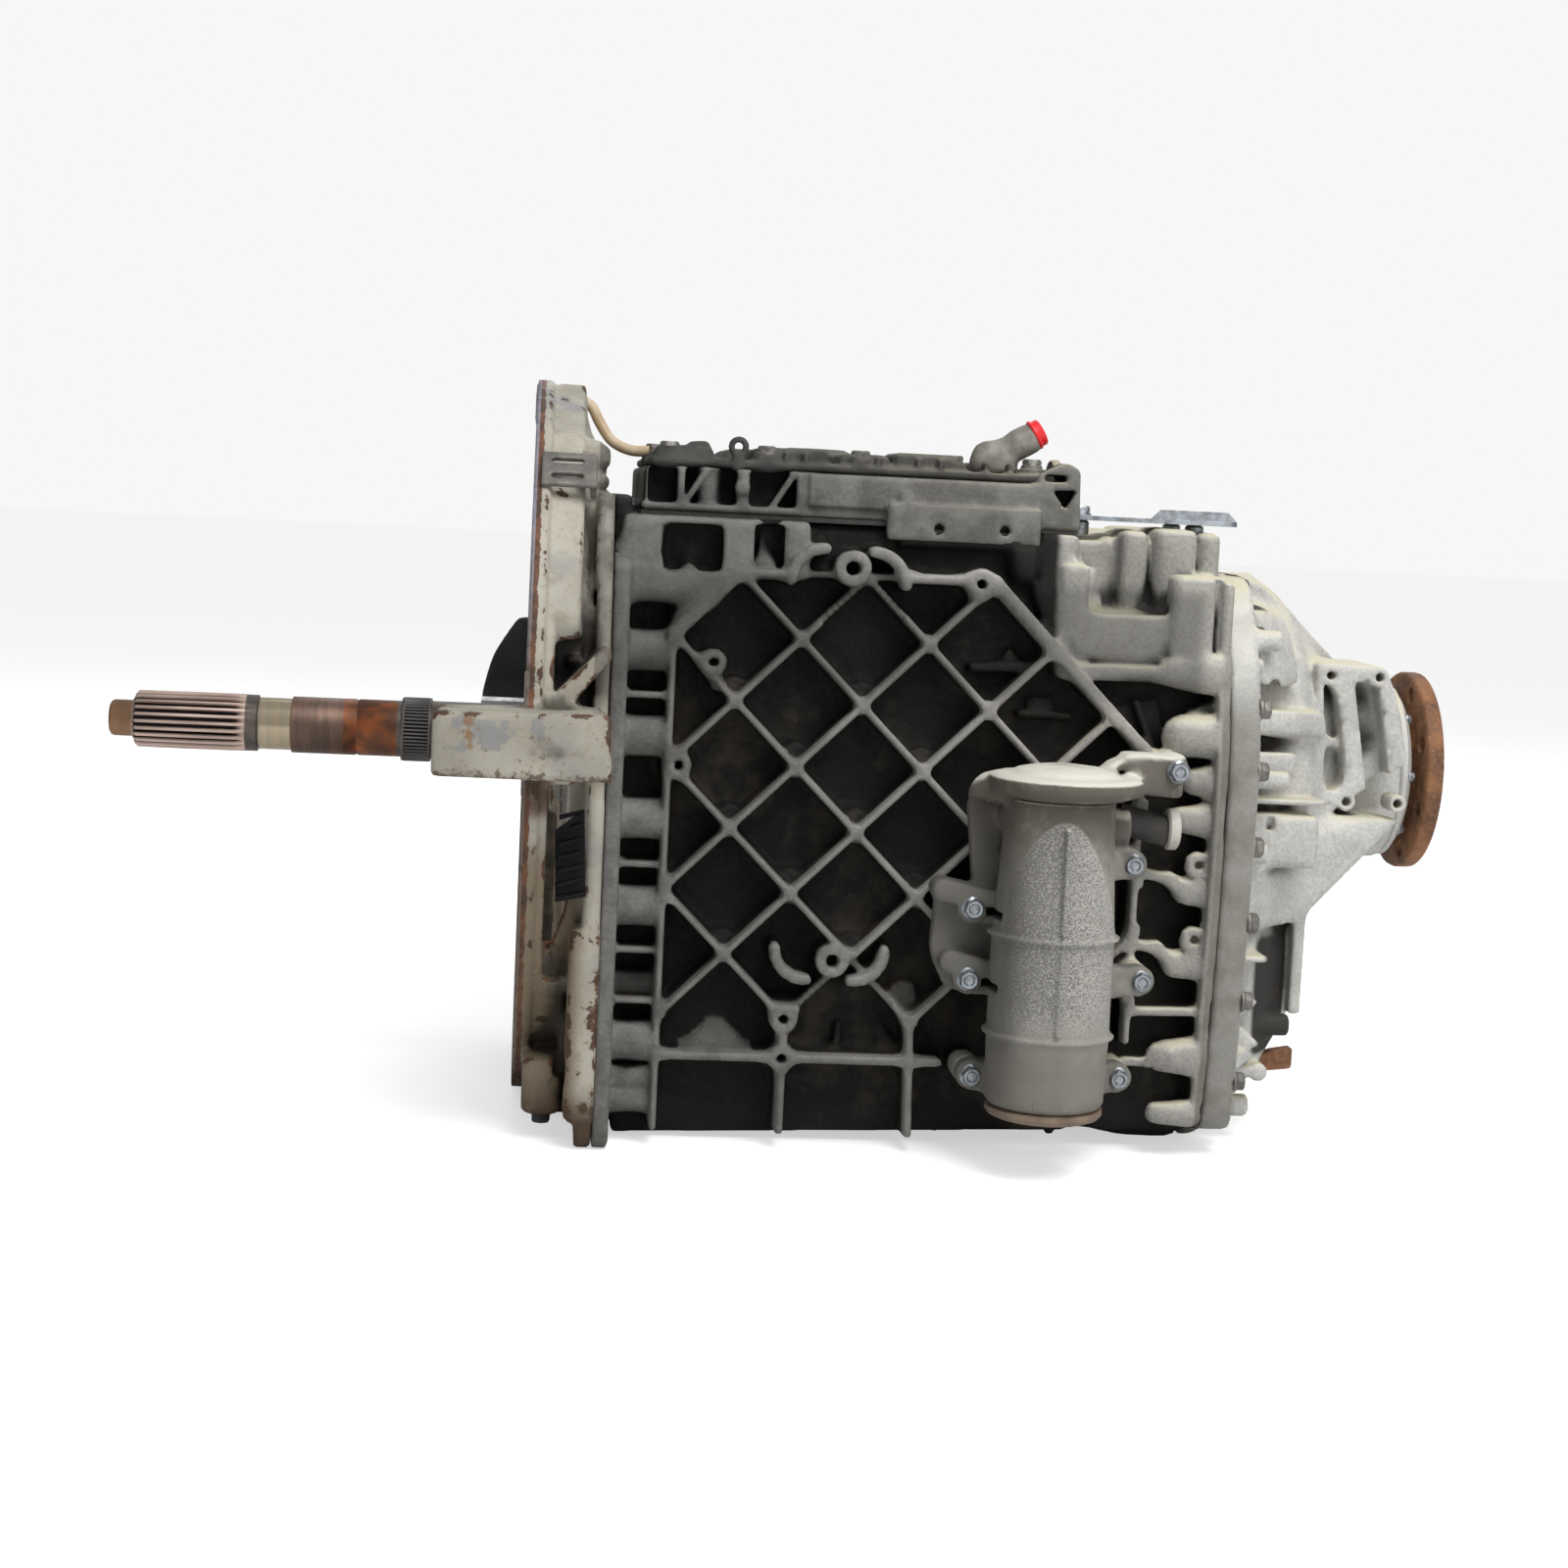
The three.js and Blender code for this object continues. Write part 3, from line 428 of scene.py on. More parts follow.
class Shape:
    """Rings of points skinned into closed bodies, several to a piece."""

    def __init__(self):
        self.bm = bmesh.new()

    def skin(self, rings, closed=False):
        """rings are lists of mm points, all of one length. Ends are capped, or with closed the last ring
        meets the first."""
        made = [[self.bm.verts.new(row(p)) for p in ring] for ring in rings]
        pairs = list(zip(made, made[1:])) + ([(made[-1], made[0])] if closed else [])
        count = len(made[0])
        for a, b in pairs:
            for i in range(count):
                j = (i + 1) % count
                self.bm.faces.new([a[i], a[j], b[j], b[i]])
        if not closed:
            self.bm.faces.new(made[0][::-1])
            self.bm.faces.new(made[-1])

    def lathe(self, axis, centre, profile, segments=64, closed=False, radius_at=None):
        """A [station, radius] profile turned about an axis. radius_at(station, radius, angle) may shape
        the section."""
        k, u, v = AXES[axis]
        rings = []
        for station, radius in profile:
            ring = []
            for i in range(segments):
                angle = 2 * math.pi * i / segments
                r = radius_at(station, radius, angle) if radius_at else radius
                p = [0.0] * 3
                p[k], p[u], p[v] = station, centre[0] + r * math.cos(angle), centre[1] + r * math.sin(angle)
                ring.append(p)
            rings.append(ring)
        self.skin(rings, closed)

    def tube(self, points, radius, segments=16, steps=6):
        """A round tube along a smooth curve through mm points."""
        points = [Vector(p) for p in points]
        padded = [2 * points[0] - points[1], *points, 2 * points[-1] - points[-2]]
        path = []
        for a, b, c, d in zip(padded, padded[1:], padded[2:], padded[3:]):
            for i in range(steps):
                t = i / steps
                path.append(0.5 * (2 * b + (c - a) * t + (2 * a - 5 * b + 4 * c - d) * t * t
                                   + (3 * b - a - 3 * c + d) * t ** 3))
        path.append(points[-1])
        rings, side = [], Vector((0.13, 0.97, 0.2))
        for i, p in enumerate(path):
            ahead = (path[min(i + 1, len(path) - 1)] - path[max(i - 1, 0)]).normalized()
            side = (side - ahead * side.dot(ahead)).normalized()
            up = ahead.cross(side)
            rings.append([p + radius * (side * math.cos(w) + up * math.sin(w))
                          for w in (2 * math.pi * k / segments for k in range(segments))])
        self.skin(rings)

    def bolt(self, at, towards, across=18, washer=11.5, head=9):
        """A hexagon flange head seen from outside, with a dimple."""
        axis = Vector(towards).normalized()
        side = axis.orthogonal().normalized()
        up = axis.cross(side)
        twist = (at[0] * 0.7 + at[2] * 1.3) % math.pi
        flat, corner = across / 2, across / math.sqrt(3)
        profile = [(-1, washer, washer), (1.2, washer, washer), (2.6, washer - 1.6, washer - 1.6),
                   (3, flat, corner), (head - 1.4, flat, corner), (head, flat * 0.93, flat * 0.96),
                   (head, flat * 0.66, flat * 0.66), (head - 1.6, flat * 0.5, flat * 0.5)]
        rings = []
        for height, low, high in profile:
            ring = []
            for i in range(24):
                angle = twist + math.pi * i / 12
                bend = abs(math.cos(3 * (angle - twist)))
                r = low + (high - low) * bend ** 3
                ring.append(Vector(at) + axis * height + r * (side * math.cos(angle) + up * math.sin(angle)))
            rings.append(ring)
        self.skin(rings)

    def slab(self, outline, axis, start, end):
        """A flat plate: an outline of (u, v) points carried along an axis."""
        k, u, v = AXES[axis]
        rings = []
        for station in (start, end):
            ring = []
            for a, b in outline:
                p = [0.0] * 3
                p[k], p[u], p[v] = station, a, b
                ring.append(p)
            rings.append(ring)
        self.skin(rings)

    def piece(self, name, material, nodes, slot, body="housing", bevel=0, angle=35):
        bmesh.ops.recalc_face_normals(self.bm, faces=self.bm.faces[:])
        mesh = bpy.data.meshes.new(name)
        self.bm.to_mesh(mesh)
        self.bm.free()
        mesh.shade_smooth()
        mesh.set_sharp_from_angle(angle=math.radians(angle))
        piece = placed(name, mesh, material, nodes, body)
        if bevel:
            rounding = piece.modifiers.new("bevel", "BEVEL")
            rounding.width = bevel * MM
            rounding.segments = 2
            rounding.limit_method = "ANGLE"
        return piece


def corners(points, radius, steps=4):
    """An outline with its corners rounded."""
    out = []
    for i, p in enumerate(points):
        here = Vector(p)
        before, after = Vector(points[i - 1]) - here, Vector(points[(i + 1) % len(points)]) - here
        r = min(radius, before.length / 2.1, after.length / 2.1)
        a, b = here + before.normalized() * r, here + after.normalized() * r
        for k in range(steps + 1):
            t = k / steps
            out.append(tuple((1 - t) ** 2 * a + 2 * t * (1 - t) * here + t * t * b))
    return out


# ---------------------------------------------------------------- materials
class Nodes:
    """Short names for the shader nodes of one material."""

    def __init__(self, name):
        self.material = bpy.data.materials.new(name)
        self.material.use_nodes = True
        self.tree = self.material.node_tree
        self.shader = self.tree.nodes["Principled BSDF"]
        self.place = self.tree.nodes.new("ShaderNodeTexCoord").outputs["Object"]

    def _set(self, socket, value):
        if isinstance(value, bpy.types.NodeSocket):
            self.tree.links.new(value, socket)
        elif value is not None:
            socket.default_value = (*value, 1) if isinstance(value, tuple) and len(value) == 3 else value

    def noise(self, scale, detail=4, roughness=0.55, stretch=None):
        node = self.tree.nodes.new("ShaderNodeTexNoise")
        place = self.place
        if stretch:
            mapping = self.tree.nodes.new("ShaderNodeMapping")
            mapping.inputs["Scale"].default_value = stretch
            self.tree.links.new(self.place, mapping.inputs["Vector"])
            place = mapping.outputs["Vector"]
        self.tree.links.new(place, node.inputs["Vector"])
        for key, value in (("Scale", scale), ("Detail", detail), ("Roughness", roughness)):
            node.inputs[key].default_value = value
        return node.outputs["Fac"]

    def attribute(self, name):
        node = self.tree.nodes.new("ShaderNodeAttribute")
        node.attribute_name = name
        return node.outputs["Fac"]

    def step(self, value, low, high, to_low=0.0, to_high=1.0):
        node = self.tree.nodes.new("ShaderNodeMapRange")
        node.interpolation_type = "SMOOTHSTEP"
        for key, item in (("Value", value), ("From Min", low), ("From Max", high),
                          ("To Min", to_low), ("To Max", to_high)):
            self._set(node.inputs[key], item)
        return node.outputs["Result"]

    def math(self, kind, a, b=None):
        node = self.tree.nodes.new("ShaderNodeMath")
        node.operation = kind
        self._set(node.inputs[0], a)
        self._set(node.inputs[1], b)
        return node.outputs[0]

    def times(self, first, *others):
        for other in others:
            first = self.math("MULTIPLY", first, other)
        return first

    def centred(self, noise):
        """Noise about zero."""
        return self.math("SUBTRACT", noise, 0.5)

    def less(self, value):
        return self.math("SUBTRACT", 1.0, value)

    def sum(self, *parts):
        """Adds (value, weight) pairs."""
        total = None
        for value, weight in parts:
            item = self.times(value, weight)
            total = item if total is None else self.math("ADD", total, item)
        return total

    def mix(self, factor, a, b):
        node = self.tree.nodes.new("ShaderNodeMix")
        node.data_type = "RGBA"
        self._set(node.inputs["Factor"], factor)
        self._set(node.inputs["A"], a)
        self._set(node.inputs["B"], b)
        return node.outputs["Result"]

    def over(self, skin, colour, *masks):
        """One colour laid over another where all the masks are 1."""
        return self.mix(self.times(*masks), skin, colour)

    def axis(self, source, k):
        node = self.tree.nodes.new("ShaderNodeSeparateXYZ")
        self.tree.links.new(source, node.inputs[0])
        return node.outputs[k]

    def up(self):
        node = self.tree.nodes.new("ShaderNodeNewGeometry")
        return self.axis(node.outputs["Normal"], 2)

    def along(self, k, start, end):
        """0 to 1 between two stations of the axis frame, in millimetres."""
        a, b = ORIGIN[k] + start * MM, ORIGIN[k] + end * MM
        return self.step(self.axis(self.place, k), float(a), float(b)) if b > a else \
            self.step(self.axis(self.place, k), float(b), float(a), 1.0, 0.0)

    def where(self, *spans):
        """1 where every (axis, start, end) span has been passed."""
        return self.times(*[self.along(*span) for span in spans])

    def bump(self, height, strength, distance):
        node = self.tree.nodes.new("ShaderNodeBump")
        node.inputs["Strength"].default_value = strength
        node.inputs["Distance"].default_value = distance * MM
        self.tree.links.new(height, node.inputs["Height"])
        return node.outputs["Normal"]

    def finish(self, color, roughness, metallic, normal=None):
        for key, value in (("Base Color", color), ("Roughness", roughness), ("Metallic", metallic),
                           ("Normal", normal)):
            self._set(self.shader.inputs[key], value)
        return self.material


def cast_metal(name, clean, dull, grime_and_shade, dust, dusty=(0.15, 0.15), hollow=(0.5, 0.62), metallic=0.25,
               grain=320, relief=0.5, dust_from=None, painted_shade=None):
    """Raw casting: grain, a duller skin, dirt and painted shade in the hollows, bright worn edges and settled
    dust. The last argument returns how much painted shade a place gets because of where it lies; with it come
    a painted shadow on the upper case and a dark band at the rear joint."""
    n = Nodes(name)
    broad, patch, fine = n.noise(6), n.noise(38, 5), n.noise(grain, 3, 0.6)
    speck = n.noise(1100, 2, 0.7)
    deep = n.sum((n.attribute("hollow"), 1), (n.centred(patch), 0.16),
                 (n.centred(broad), 0.12))
    worn = n.step(n.attribute("edge"), 0.46, 0.26)
    skin = n.mix(n.step(patch, 0.3, 0.7), dull, clean)
    skin = n.over(skin, grime_and_shade, n.step(fine, 0.62, 0.42), 0.22)
    skin = n.over(skin, clean, worn, 0.35)
    amount = n.step(n.sum((n.up(), 1), (n.centred(patch), 0.5)), 0.25, 0.85, 0.0, dusty[1])
    amount = n.math("ADD", amount, dusty[0])
    if dust_from:
        amount = n.times(amount, n.along(0, *dust_from))
    amount = n.times(amount, n.step(fine, 0.25, 0.6, 0.6, 1.0))
    skin = n.mix(amount, skin, dust)
    ledge = n.times(n.step(n.up(), 0.5, 0.9), n.along(0, 380, 480))
    skin = n.over(skin, (0.6, 0.55, 0.36), ledge, 0.55)
    # Dirt and painted shade: the most enclosed hollows go to the near-black fourth colour.
    skin = n.mix(n.step(deep, *hollow), skin, grime_and_shade)
    if painted_shade:
        # Painted shade: where the pockets lie, the skin goes to near-black dirt with brown patches.
        shade = n.sum((painted_shade(n), 1), (n.centred(patch), 0.25))
        floor = n.mix(n.step(n.sum((broad, 0.6), (patch, 0.4)), 0.52, 0.64, 0.0, 0.4), grime_and_shade,
                      (0.06, 0.05, 0.038))
        band = n.where((0, 571, 575), (0, 607, 604))
        band = n.times(band, n.along(2, 110, 40), n.step(patch, 0.3, 0.7, 0.5, 0.8))
        skin = n.mix(band, skin, (0.12, 0.112, 0.09))
        # Painted shadow of the overhanging cover on the upper case.
        cover_shadow = n.where((2, 55, 80), (2, 166, 152), (0, 562, 548))
        skin = n.over(skin, (0.05, 0.048, 0.043), cover_shadow, 0.5)
        skin = n.over(skin, floor, n.step(shade, 0.12, 0.7), 0.97)
    height = n.sum((fine, 1.0), (speck, 0.35), (patch, 0.8))
    n.shader.inputs["Specular IOR Level"].default_value = 0.2
    return n.finish(skin, n.step(fine, 0.3, 0.7, 0.62, 0.85), metallic, n.bump(height, relief, 0.9))


def case_painted_shade(n):
    """Painted shade in the rib pockets and the gaps between bosses, but not on the dusty shoulder above them.
    """
    near = n.where((1, -236, -217), (1, -150, -165))
    shoulder = n.where((0, 424, 442), (2, 72, 98))
    wedge = n.where((0, 134, 139), (0, 201, 196), (1, -204, -208), (2, -203, -206), (2, -238, -235))
    return n.times(near, n.less(n.math("MAXIMUM", shoulder, n.times(wedge, 0.7))))


# Painted shade in the control housing's pockets, behind its near wall.
def tower_painted_shade(n):
    return n.where((1, -204, -190), (1, -140, -160))


def range_painted_shade(n):
    """Painted shade on the sump's side below the barrel, and in the narrow gaps behind the joint."""
    sump = n.where((2, -122, -150), (0, 630, 644), (0, 673, 669), (2, -246, -232), (1, -116, -122))
    gap = n.where((0, 605, 608), (1, -186, -160))
    return n.math("MAXIMUM", sump, n.times(gap, n.along(0, 632, 618), 0.75))


def plain_metal(name, colour, second, roughness, metallic, scale=60, relief=0.1, gloss=0.5):
    """Machined, plated or moulded surfaces with light wear."""
    n = Nodes(name)
    patch, fine = n.noise(scale, 5), n.noise(scale * 9, 3)
    skin = n.mix(n.step(patch, 0.35, 0.68), colour, second)
    height = n.sum((fine, 0.6), (patch, 0.6))
    n.shader.inputs["Specular IOR Level"].default_value = gloss
    return n.finish(skin, n.step(patch, 0.3, 0.7, roughness - 0.07, roughness + 0.1), metallic,
                    n.bump(height, relief, 0.4))


def chipped_paint(name):
    """Cream paint over iron: a bare front edge, chips to rust, tan road dirt low down, flaked patches,
    painted shade in the pocket above the foot, and dirt with painted shade in the hollows.
    """
    n = Nodes(name)
    broad, patch, fine = n.noise(9, 4), n.noise(45, 6, 0.62), n.noise(260, 4)
    crease = n.noise(120, 6, 0.7)
    paint = n.mix(n.step(broad, 0.35, 0.7), (0.37, 0.35, 0.293), (0.26, 0.243, 0.195))
    paint = n.mix(n.times(n.step(patch, 0.5, 0.68), 0.6), paint, (0.25, 0.21, 0.15))
    paint = n.mix(n.times(n.step(n.noise(17, 5), 0.5, 0.68), 0.75), paint, (0.25, 0.24, 0.225))
    paint = n.mix(n.times(n.step(fine, 0.56, 0.72), 0.45), paint, (0.24, 0.17, 0.09))
    low = n.sum((n.along(2, 0, -120), 1), (n.centred(patch), 0.6))
    low = n.times(n.step(low, 0.2, 0.8), n.along(0, 58, 44))
    paint = n.mix(n.times(low, 0.85), paint, (0.15, 0.11, 0.066))
    bare = n.mix(n.step(patch, 0.4, 0.6), (0.15, 0.06, 0.028), (0.06, 0.033, 0.02))
    primer = n.step(n.sum((broad, 0.6), (patch, 0.5)), 0.645, 0.665)
    paint = n.mix(primer, paint, (0.22, 0.217, 0.21))
    chip = n.sum((n.attribute("edge"), -1.6), (patch, 0.8), (crease, 0.35))
    chips = n.step(chip, 0.0, 0.05)
    skin = n.mix(chips, paint, bare)
    rim = n.where((0, -5, -3), (1, -318, -314))
    front = n.sum((n.along(0, 11, 4), 1), (n.centred(crease), 1.4))
    skin = n.over(skin, bare, n.step(front, 0.5, 0.62), rim)
    machined = n.mix(n.along(2, 60, 200), (0.16, 0.13, 0.105), (0.24, 0.23, 0.27))
    skin = n.over(skin, machined, n.along(0, 3.6, 2.6), rim)
    plate = n.where((0, 52, 55), (2, 40, 60))
    skin = n.over(skin, (0.11, 0.1, 0.085), plate, n.step(patch, 0.3, 0.6, 0.5, 0.9))
    under = n.where((2, -44, -30), (0, 4, 7), (0, 30, 20), (1, -240, -260), (1, -322, -318))
    skin = n.over(skin, bare, under, n.along(2, -2, -6), 0.85)
    # Painted shade: the pocket above the foot goes near-black.
    pocket_shade = n.where((0, 19, 24), (2, 52, 60), (2, 128, 90), (1, -294, -284), (1, -200, -230), (0, 68, 50))
    skin = n.over(skin, (0.008, 0.007, 0.006), pocket_shade, 0.95)
    face = n.along(1, -322, -332)
    tall = n.times(n.where((2, 6, 22), (2, 50, 38)), face)
    grey = n.times(tall, n.along(0, -66, -46), n.along(0, 6, -18))
    blot = n.step(n.sum((n.noise(62, 6), 1), (grey, 0.34)), 0.75, 0.82)
    skin = n.over(skin, (0.2, 0.203, 0.208), blot, 0.8)
    brown = n.times(tall, n.along(0, -54, -42), n.along(0, -26, -36))
    ochre = n.step(n.sum((n.noise(85, 6), 1), (brown, 0.34)), 0.76, 0.88)
    skin = n.over(skin, (0.2, 0.11, 0.045), ochre, 0.8)
    smear = n.step(n.sum((crease, 1), (n.along(2, 8, -6), 0.16)), 0.6, 0.66)
    skin = n.over(skin, (0.1, 0.065, 0.04), smear, face, 0.8)
    bottom = n.times(n.along(2, -255, -296), n.step(patch, 0.25, 0.45))
    skin = n.mix(bottom, skin, (0.06, 0.035, 0.018))
    # Dirt and painted shade in the hollows, dark brown.
    deep = n.sum((n.attribute("hollow"), 1), (n.centred(patch), 0.25))
    skin = n.over(skin, (0.035, 0.028, 0.02), n.step(deep, 0.46, 0.6), 0.9)
    height = n.sum((chips, -0.7), (fine, 0.25), (patch, 0.5))
    n.shader.inputs["Specular IOR Level"].default_value = 0.35
    return n.finish(skin, n.step(patch, 0.3, 0.7, 0.5, 0.75), 0.0, n.bump(height, 0.6, 0.9))


def rusted(name, rust, dark, bright, scale=30):
    n = Nodes(name)
    broad, patch, fine = n.noise(scale / 4), n.noise(scale, 6, 0.65), n.noise(scale * 9, 4, 0.7)
    skin = n.mix(n.step(patch, 0.35, 0.65), rust, dark)
    skin = n.over(skin, bright, n.step(fine, 0.45, 0.7), 0.5)
    skin = n.over(skin, dark, n.step(broad, 0.5, 0.7), 0.4)
    return n.finish(skin, n.step(fine, 0.3, 0.7, 0.55, 0.85), 0.2,
                    n.bump(n.sum((fine, 1), (patch, 0.6)), 0.35, 0.6))


def shaft_steel(name):
    """The input shaft by station: tan pilot, brown spline, polished band, rust and a dark collar, with
    painted shade in the spline roots and notches.
    """
    n = Nodes(name)
    patch, fine = n.noise(40, 5), n.noise(420, 4, 0.6)
    streak = n.noise(60, 4, 0.6, stretch=(0.15, 1.0, 1.0))
    ring = n.noise(30, 3, 0.6, stretch=(8.0, 0.4, 0.4))
    brown = n.mix(n.step(streak, 0.35, 0.65), (0.44, 0.33, 0.28), (0.66, 0.52, 0.45))
    tan = n.mix(n.step(patch, 0.3, 0.7), (0.3, 0.175, 0.1), (0.2, 0.12, 0.068))
    gold = n.mix(n.step(ring, 0.35, 0.65), (0.46, 0.38, 0.26), (0.38, 0.33, 0.25))
    grey = n.mix(n.step(patch, 0.3, 0.7), (0.09, 0.08, 0.075), (0.16, 0.13, 0.11))
    rust = n.mix(n.step(n.sum((ring, 0.6), (patch, 0.4)), 0.4, 0.6), (0.17, 0.105, 0.08),
                 (0.11, 0.075, 0.058))
    hot = n.mix(n.step(patch, 0.42, 0.68), (0.12, 0.055, 0.032), (0.33, 0.1, 0.035))
    skin = tan
    for start, colour in ((-345, brown), (-246, grey), (-234, gold), (-206, rust), (-160, hot), (-113, grey),
                          (-108, (0.13, 0.125, 0.12)), (-83, grey)):
        skin = n.mix(n.along(0, start - 1, start + 1), skin, colour)
    place = [n.math("SUBTRACT", n.axis(n.place, k), float(ORIGIN[k])) for k in (1, 2)]
    radius = n.math("SQRT", n.sum((n.times(place[0], place[0]), 1), (n.times(place[1], place[1]), 1)))
    # Painted shade: near-black in the spline roots and the collar's notches.
    groove_shade = n.times(n.step(radius, 0.0245, 0.0222), n.along(0, -343, -342), n.along(0, -242, -248))
    notch_shade = n.times(n.step(radius, 0.0281, 0.0272), n.along(0, -108, -107), n.along(0, -84, -85))
    skin = n.mix(n.math("MAXIMUM", groove_shade, notch_shade), skin, (0.012, 0.009, 0.008))
    polished = n.where((0, -235, -233), (0, -205, -207))
    rough = n.step(polished, 0, 1, 0.5, 0.2)
    return n.finish(skin, rough, 0.75, n.bump(n.sum((fine, 1), (patch, 0.5)), 0.12, 0.4))


def splash_zone(name):
    """The filter housing: light grey, speckled dark over a pointed arch where spray has eaten the dust, with
    painted shade on its left flank and in its hollows, and a painted shadow with brown dirt under the top.
    """
    n = Nodes(name)
    broad, patch, fine = n.noise(10), n.noise(42, 5), n.noise(330, 4, 0.65)
    speck = n.noise(560, 4, 0.7, stretch=(1.0, 1.0, 1.5))
    skin = n.mix(n.step(patch, 0.3, 0.7), (0.26, 0.25, 0.218), (0.19, 0.182, 0.158))
    across = n.math("SUBTRACT", n.axis(n.place, 0), float(ORIGIN[0] + (FILTER_X - 3) * MM))
    arch = n.math("ADD", n.axis(n.place, 2), n.times(across, across, 34))
    crown, spring = float(ORIGIN[2] - 20 * MM), float(ORIGIN[2] - 24 * MM)
    zone = n.times(n.step(arch, crown, spring), n.along(2, -214, -165), n.along(1, -318, -326))
    heavy = n.times(zone, n.along(0, 460, 400))
    spots = n.step(n.sum((speck, 1), (heavy, 0.09)), 0.46, 0.6)
    skin = n.over(skin, (0.46, 0.45, 0.42), zone, 0.7)
    skin = n.over(skin, (0.1, 0.097, 0.088), spots, zone, 0.8)
    # Painted shade: the left flank is darker.
    left = n.times(n.along(0, 408, 386), 0.75)
    skin = n.mix(left, skin, (0.09, 0.085, 0.075))
    foot = n.times(n.along(2, -195, -225), 0.55)
    skin = n.mix(foot, skin, (0.14, 0.13, 0.11))
    # Brown dirt and the painted shadow of the top flange, just below it and outside the arch.
    stain_and_shade = n.times(n.along(2, -75, -15), n.step(patch, 0.2, 0.5), n.less(zone))
    skin = n.over(skin, (0.085, 0.072, 0.056), stain_and_shade, 0.85)
    behind = n.times(n.along(1, -296, -278), n.step(patch, 0.25, 0.6))
    skin = n.over(skin, (0.1, 0.095, 0.085), behind, 0.55)
    top = n.times(n.step(n.up(), 0.3, 0.8), n.along(2, -60, -20))
    skin = n.over(skin, (0.66, 0.64, 0.56), top, 0.9)
    # Painted shade in the hollows, near-black.
    deep = n.sum((n.attribute("hollow"), 1), (n.centred(patch), 0.15))
    skin = n.over(skin, (0.03, 0.027, 0.024), n.step(deep, 0.44, 0.6), 0.9)
    height = n.sum((fine, 0.7), (n.times(spots, zone), -0.5), (patch, 0.5))
    return n.finish(skin, 0.8, 0.1, n.bump(height, 0.5, 0.8))


# Each casting's fourth colour is dirt with painted shade, laid in its hollows and pockets.
CASE_METAL = cast_metal("case_aluminium", (0.2, 0.195, 0.18), (0.12, 0.117, 0.11), (0.006, 0.0052, 0.0046),
                        (0.52, 0.505, 0.46), dusty=(0.5, 0.6), hollow=(0.57, 0.7), dust_from=(150, 540),
                        painted_shade=case_painted_shade)
RANGE_METAL = cast_metal("range_aluminium", (0.55, 0.545, 0.52), (0.42, 0.415, 0.395), (0.03, 0.028, 0.026),
                         (0.62, 0.61, 0.565), dusty=(0.2, 0.6), hollow=(0.57, 0.74), painted_shade=range_painted_shade)
CONTROL_METAL = cast_metal("control_aluminium", (0.18, 0.177, 0.164), (0.09, 0.088, 0.084),
                           (0.005, 0.005, 0.006),
                           (0.4, 0.38, 0.31), dusty=(0.1, 0.35), hollow=(0.52, 0.64), dust_from=(120, 480),
                           painted_shade=tower_painted_shade)
COVER_METAL = cast_metal("cover_aluminium", (0.075, 0.074, 0.068), (0.034, 0.033, 0.032),
                         (0.005, 0.005, 0.006),
                         (0.36, 0.33, 0.26), dusty=(0.05, 0.4), hollow=(0.48, 0.6), dust_from=(100, 460))
CREAM = chipped_paint("cream_paint")
BLACK = plain_metal("black_paint", (0.012, 0.012, 0.013), (0.024, 0.024, 0.026), 0.45, 0.0, 30, 0.2, 0.3)
GUARD = plain_metal("guard_plastic", (0.004, 0.004, 0.005), (0.008, 0.008, 0.009), 0.6, 0.0, 60, 0.2, 0.15)
ZINC = plain_metal("zinc_plate", (0.33, 0.36, 0.39), (0.2, 0.21, 0.22), 0.38, 0.85, 160, 0.15)
STRAP = plain_metal("strap_steel", (0.2, 0.19, 0.17), (0.12, 0.115, 0.105), 0.55, 0.6, 50, 0.2)
RUST = rusted("flange_rust", (0.26, 0.115, 0.048), (0.1, 0.045, 0.024), (0.4, 0.22, 0.11))
FILTER = splash_zone("filter_aluminium")
LID = plain_metal("lid_plastic", (0.13, 0.088, 0.06), (0.2, 0.15, 0.105), 0.6, 0.0, 50, 0.2)
RED = plain_metal("red_plastic", (0.75, 0.012, 0.02), (0.6, 0.012, 0.02), 0.35, 0.0, 40, 0.05)
NYLON = plain_metal("nylon_line", (0.42, 0.3, 0.17), (0.52, 0.42, 0.29), 0.45, 0.0, 80, 0.15)
RUBBER = plain_metal("rubber_pipe", (0.02, 0.019, 0.018), (0.05, 0.045, 0.04), 0.75, 0.0, 60, 0.3)
CREAM_RING = plain_metal("pale_clip", (0.5, 0.48, 0.42), (0.38, 0.36, 0.31), 0.6, 0.0, 60, 0.2)
ELBOW = plain_metal("elbow_metal", (0.24, 0.225, 0.195), (0.14, 0.13, 0.115), 0.65, 0.2, 70, 0.3)
STEEL = plain_metal("gear_steel", (0.35, 0.35, 0.36), (0.25, 0.25, 0.26), 0.3, 0.95, 90, 0.08)
BEARING = plain_metal("bearing_steel", (0.55, 0.56, 0.58), (0.42, 0.43, 0.45), 0.22, 0.95, 90, 0.05)
BRONZE = plain_metal("fork_bronze", (0.42, 0.25, 0.09), (0.3, 0.17, 0.06), 0.4, 0.9, 70, 0.15)
GASKET = plain_metal("gasket_fibre", (0.03, 0.028, 0.026), (0.05, 0.047, 0.042), 0.85, 0.0, 120, 0.3)
SHAFT = shaft_steel("shaft_steel")

SLOT_MATERIAL = {
    "painted_iron": CREAM, "black_paint": BLACK, "zinc_steel": ZINC, "cast_aluminium": CASE_METAL,
    "dusty_aluminium": RANGE_METAL, "rusty_steel": RUST, "gasket_fibre": GASKET, "red_plastic": RED,
    "nylon": NYLON, "brown_plastic": LID, "rubber": RUBBER, "gear_steel": STEEL, "bearing_steel": BEARING,
    "bronze": BRONZE,
}

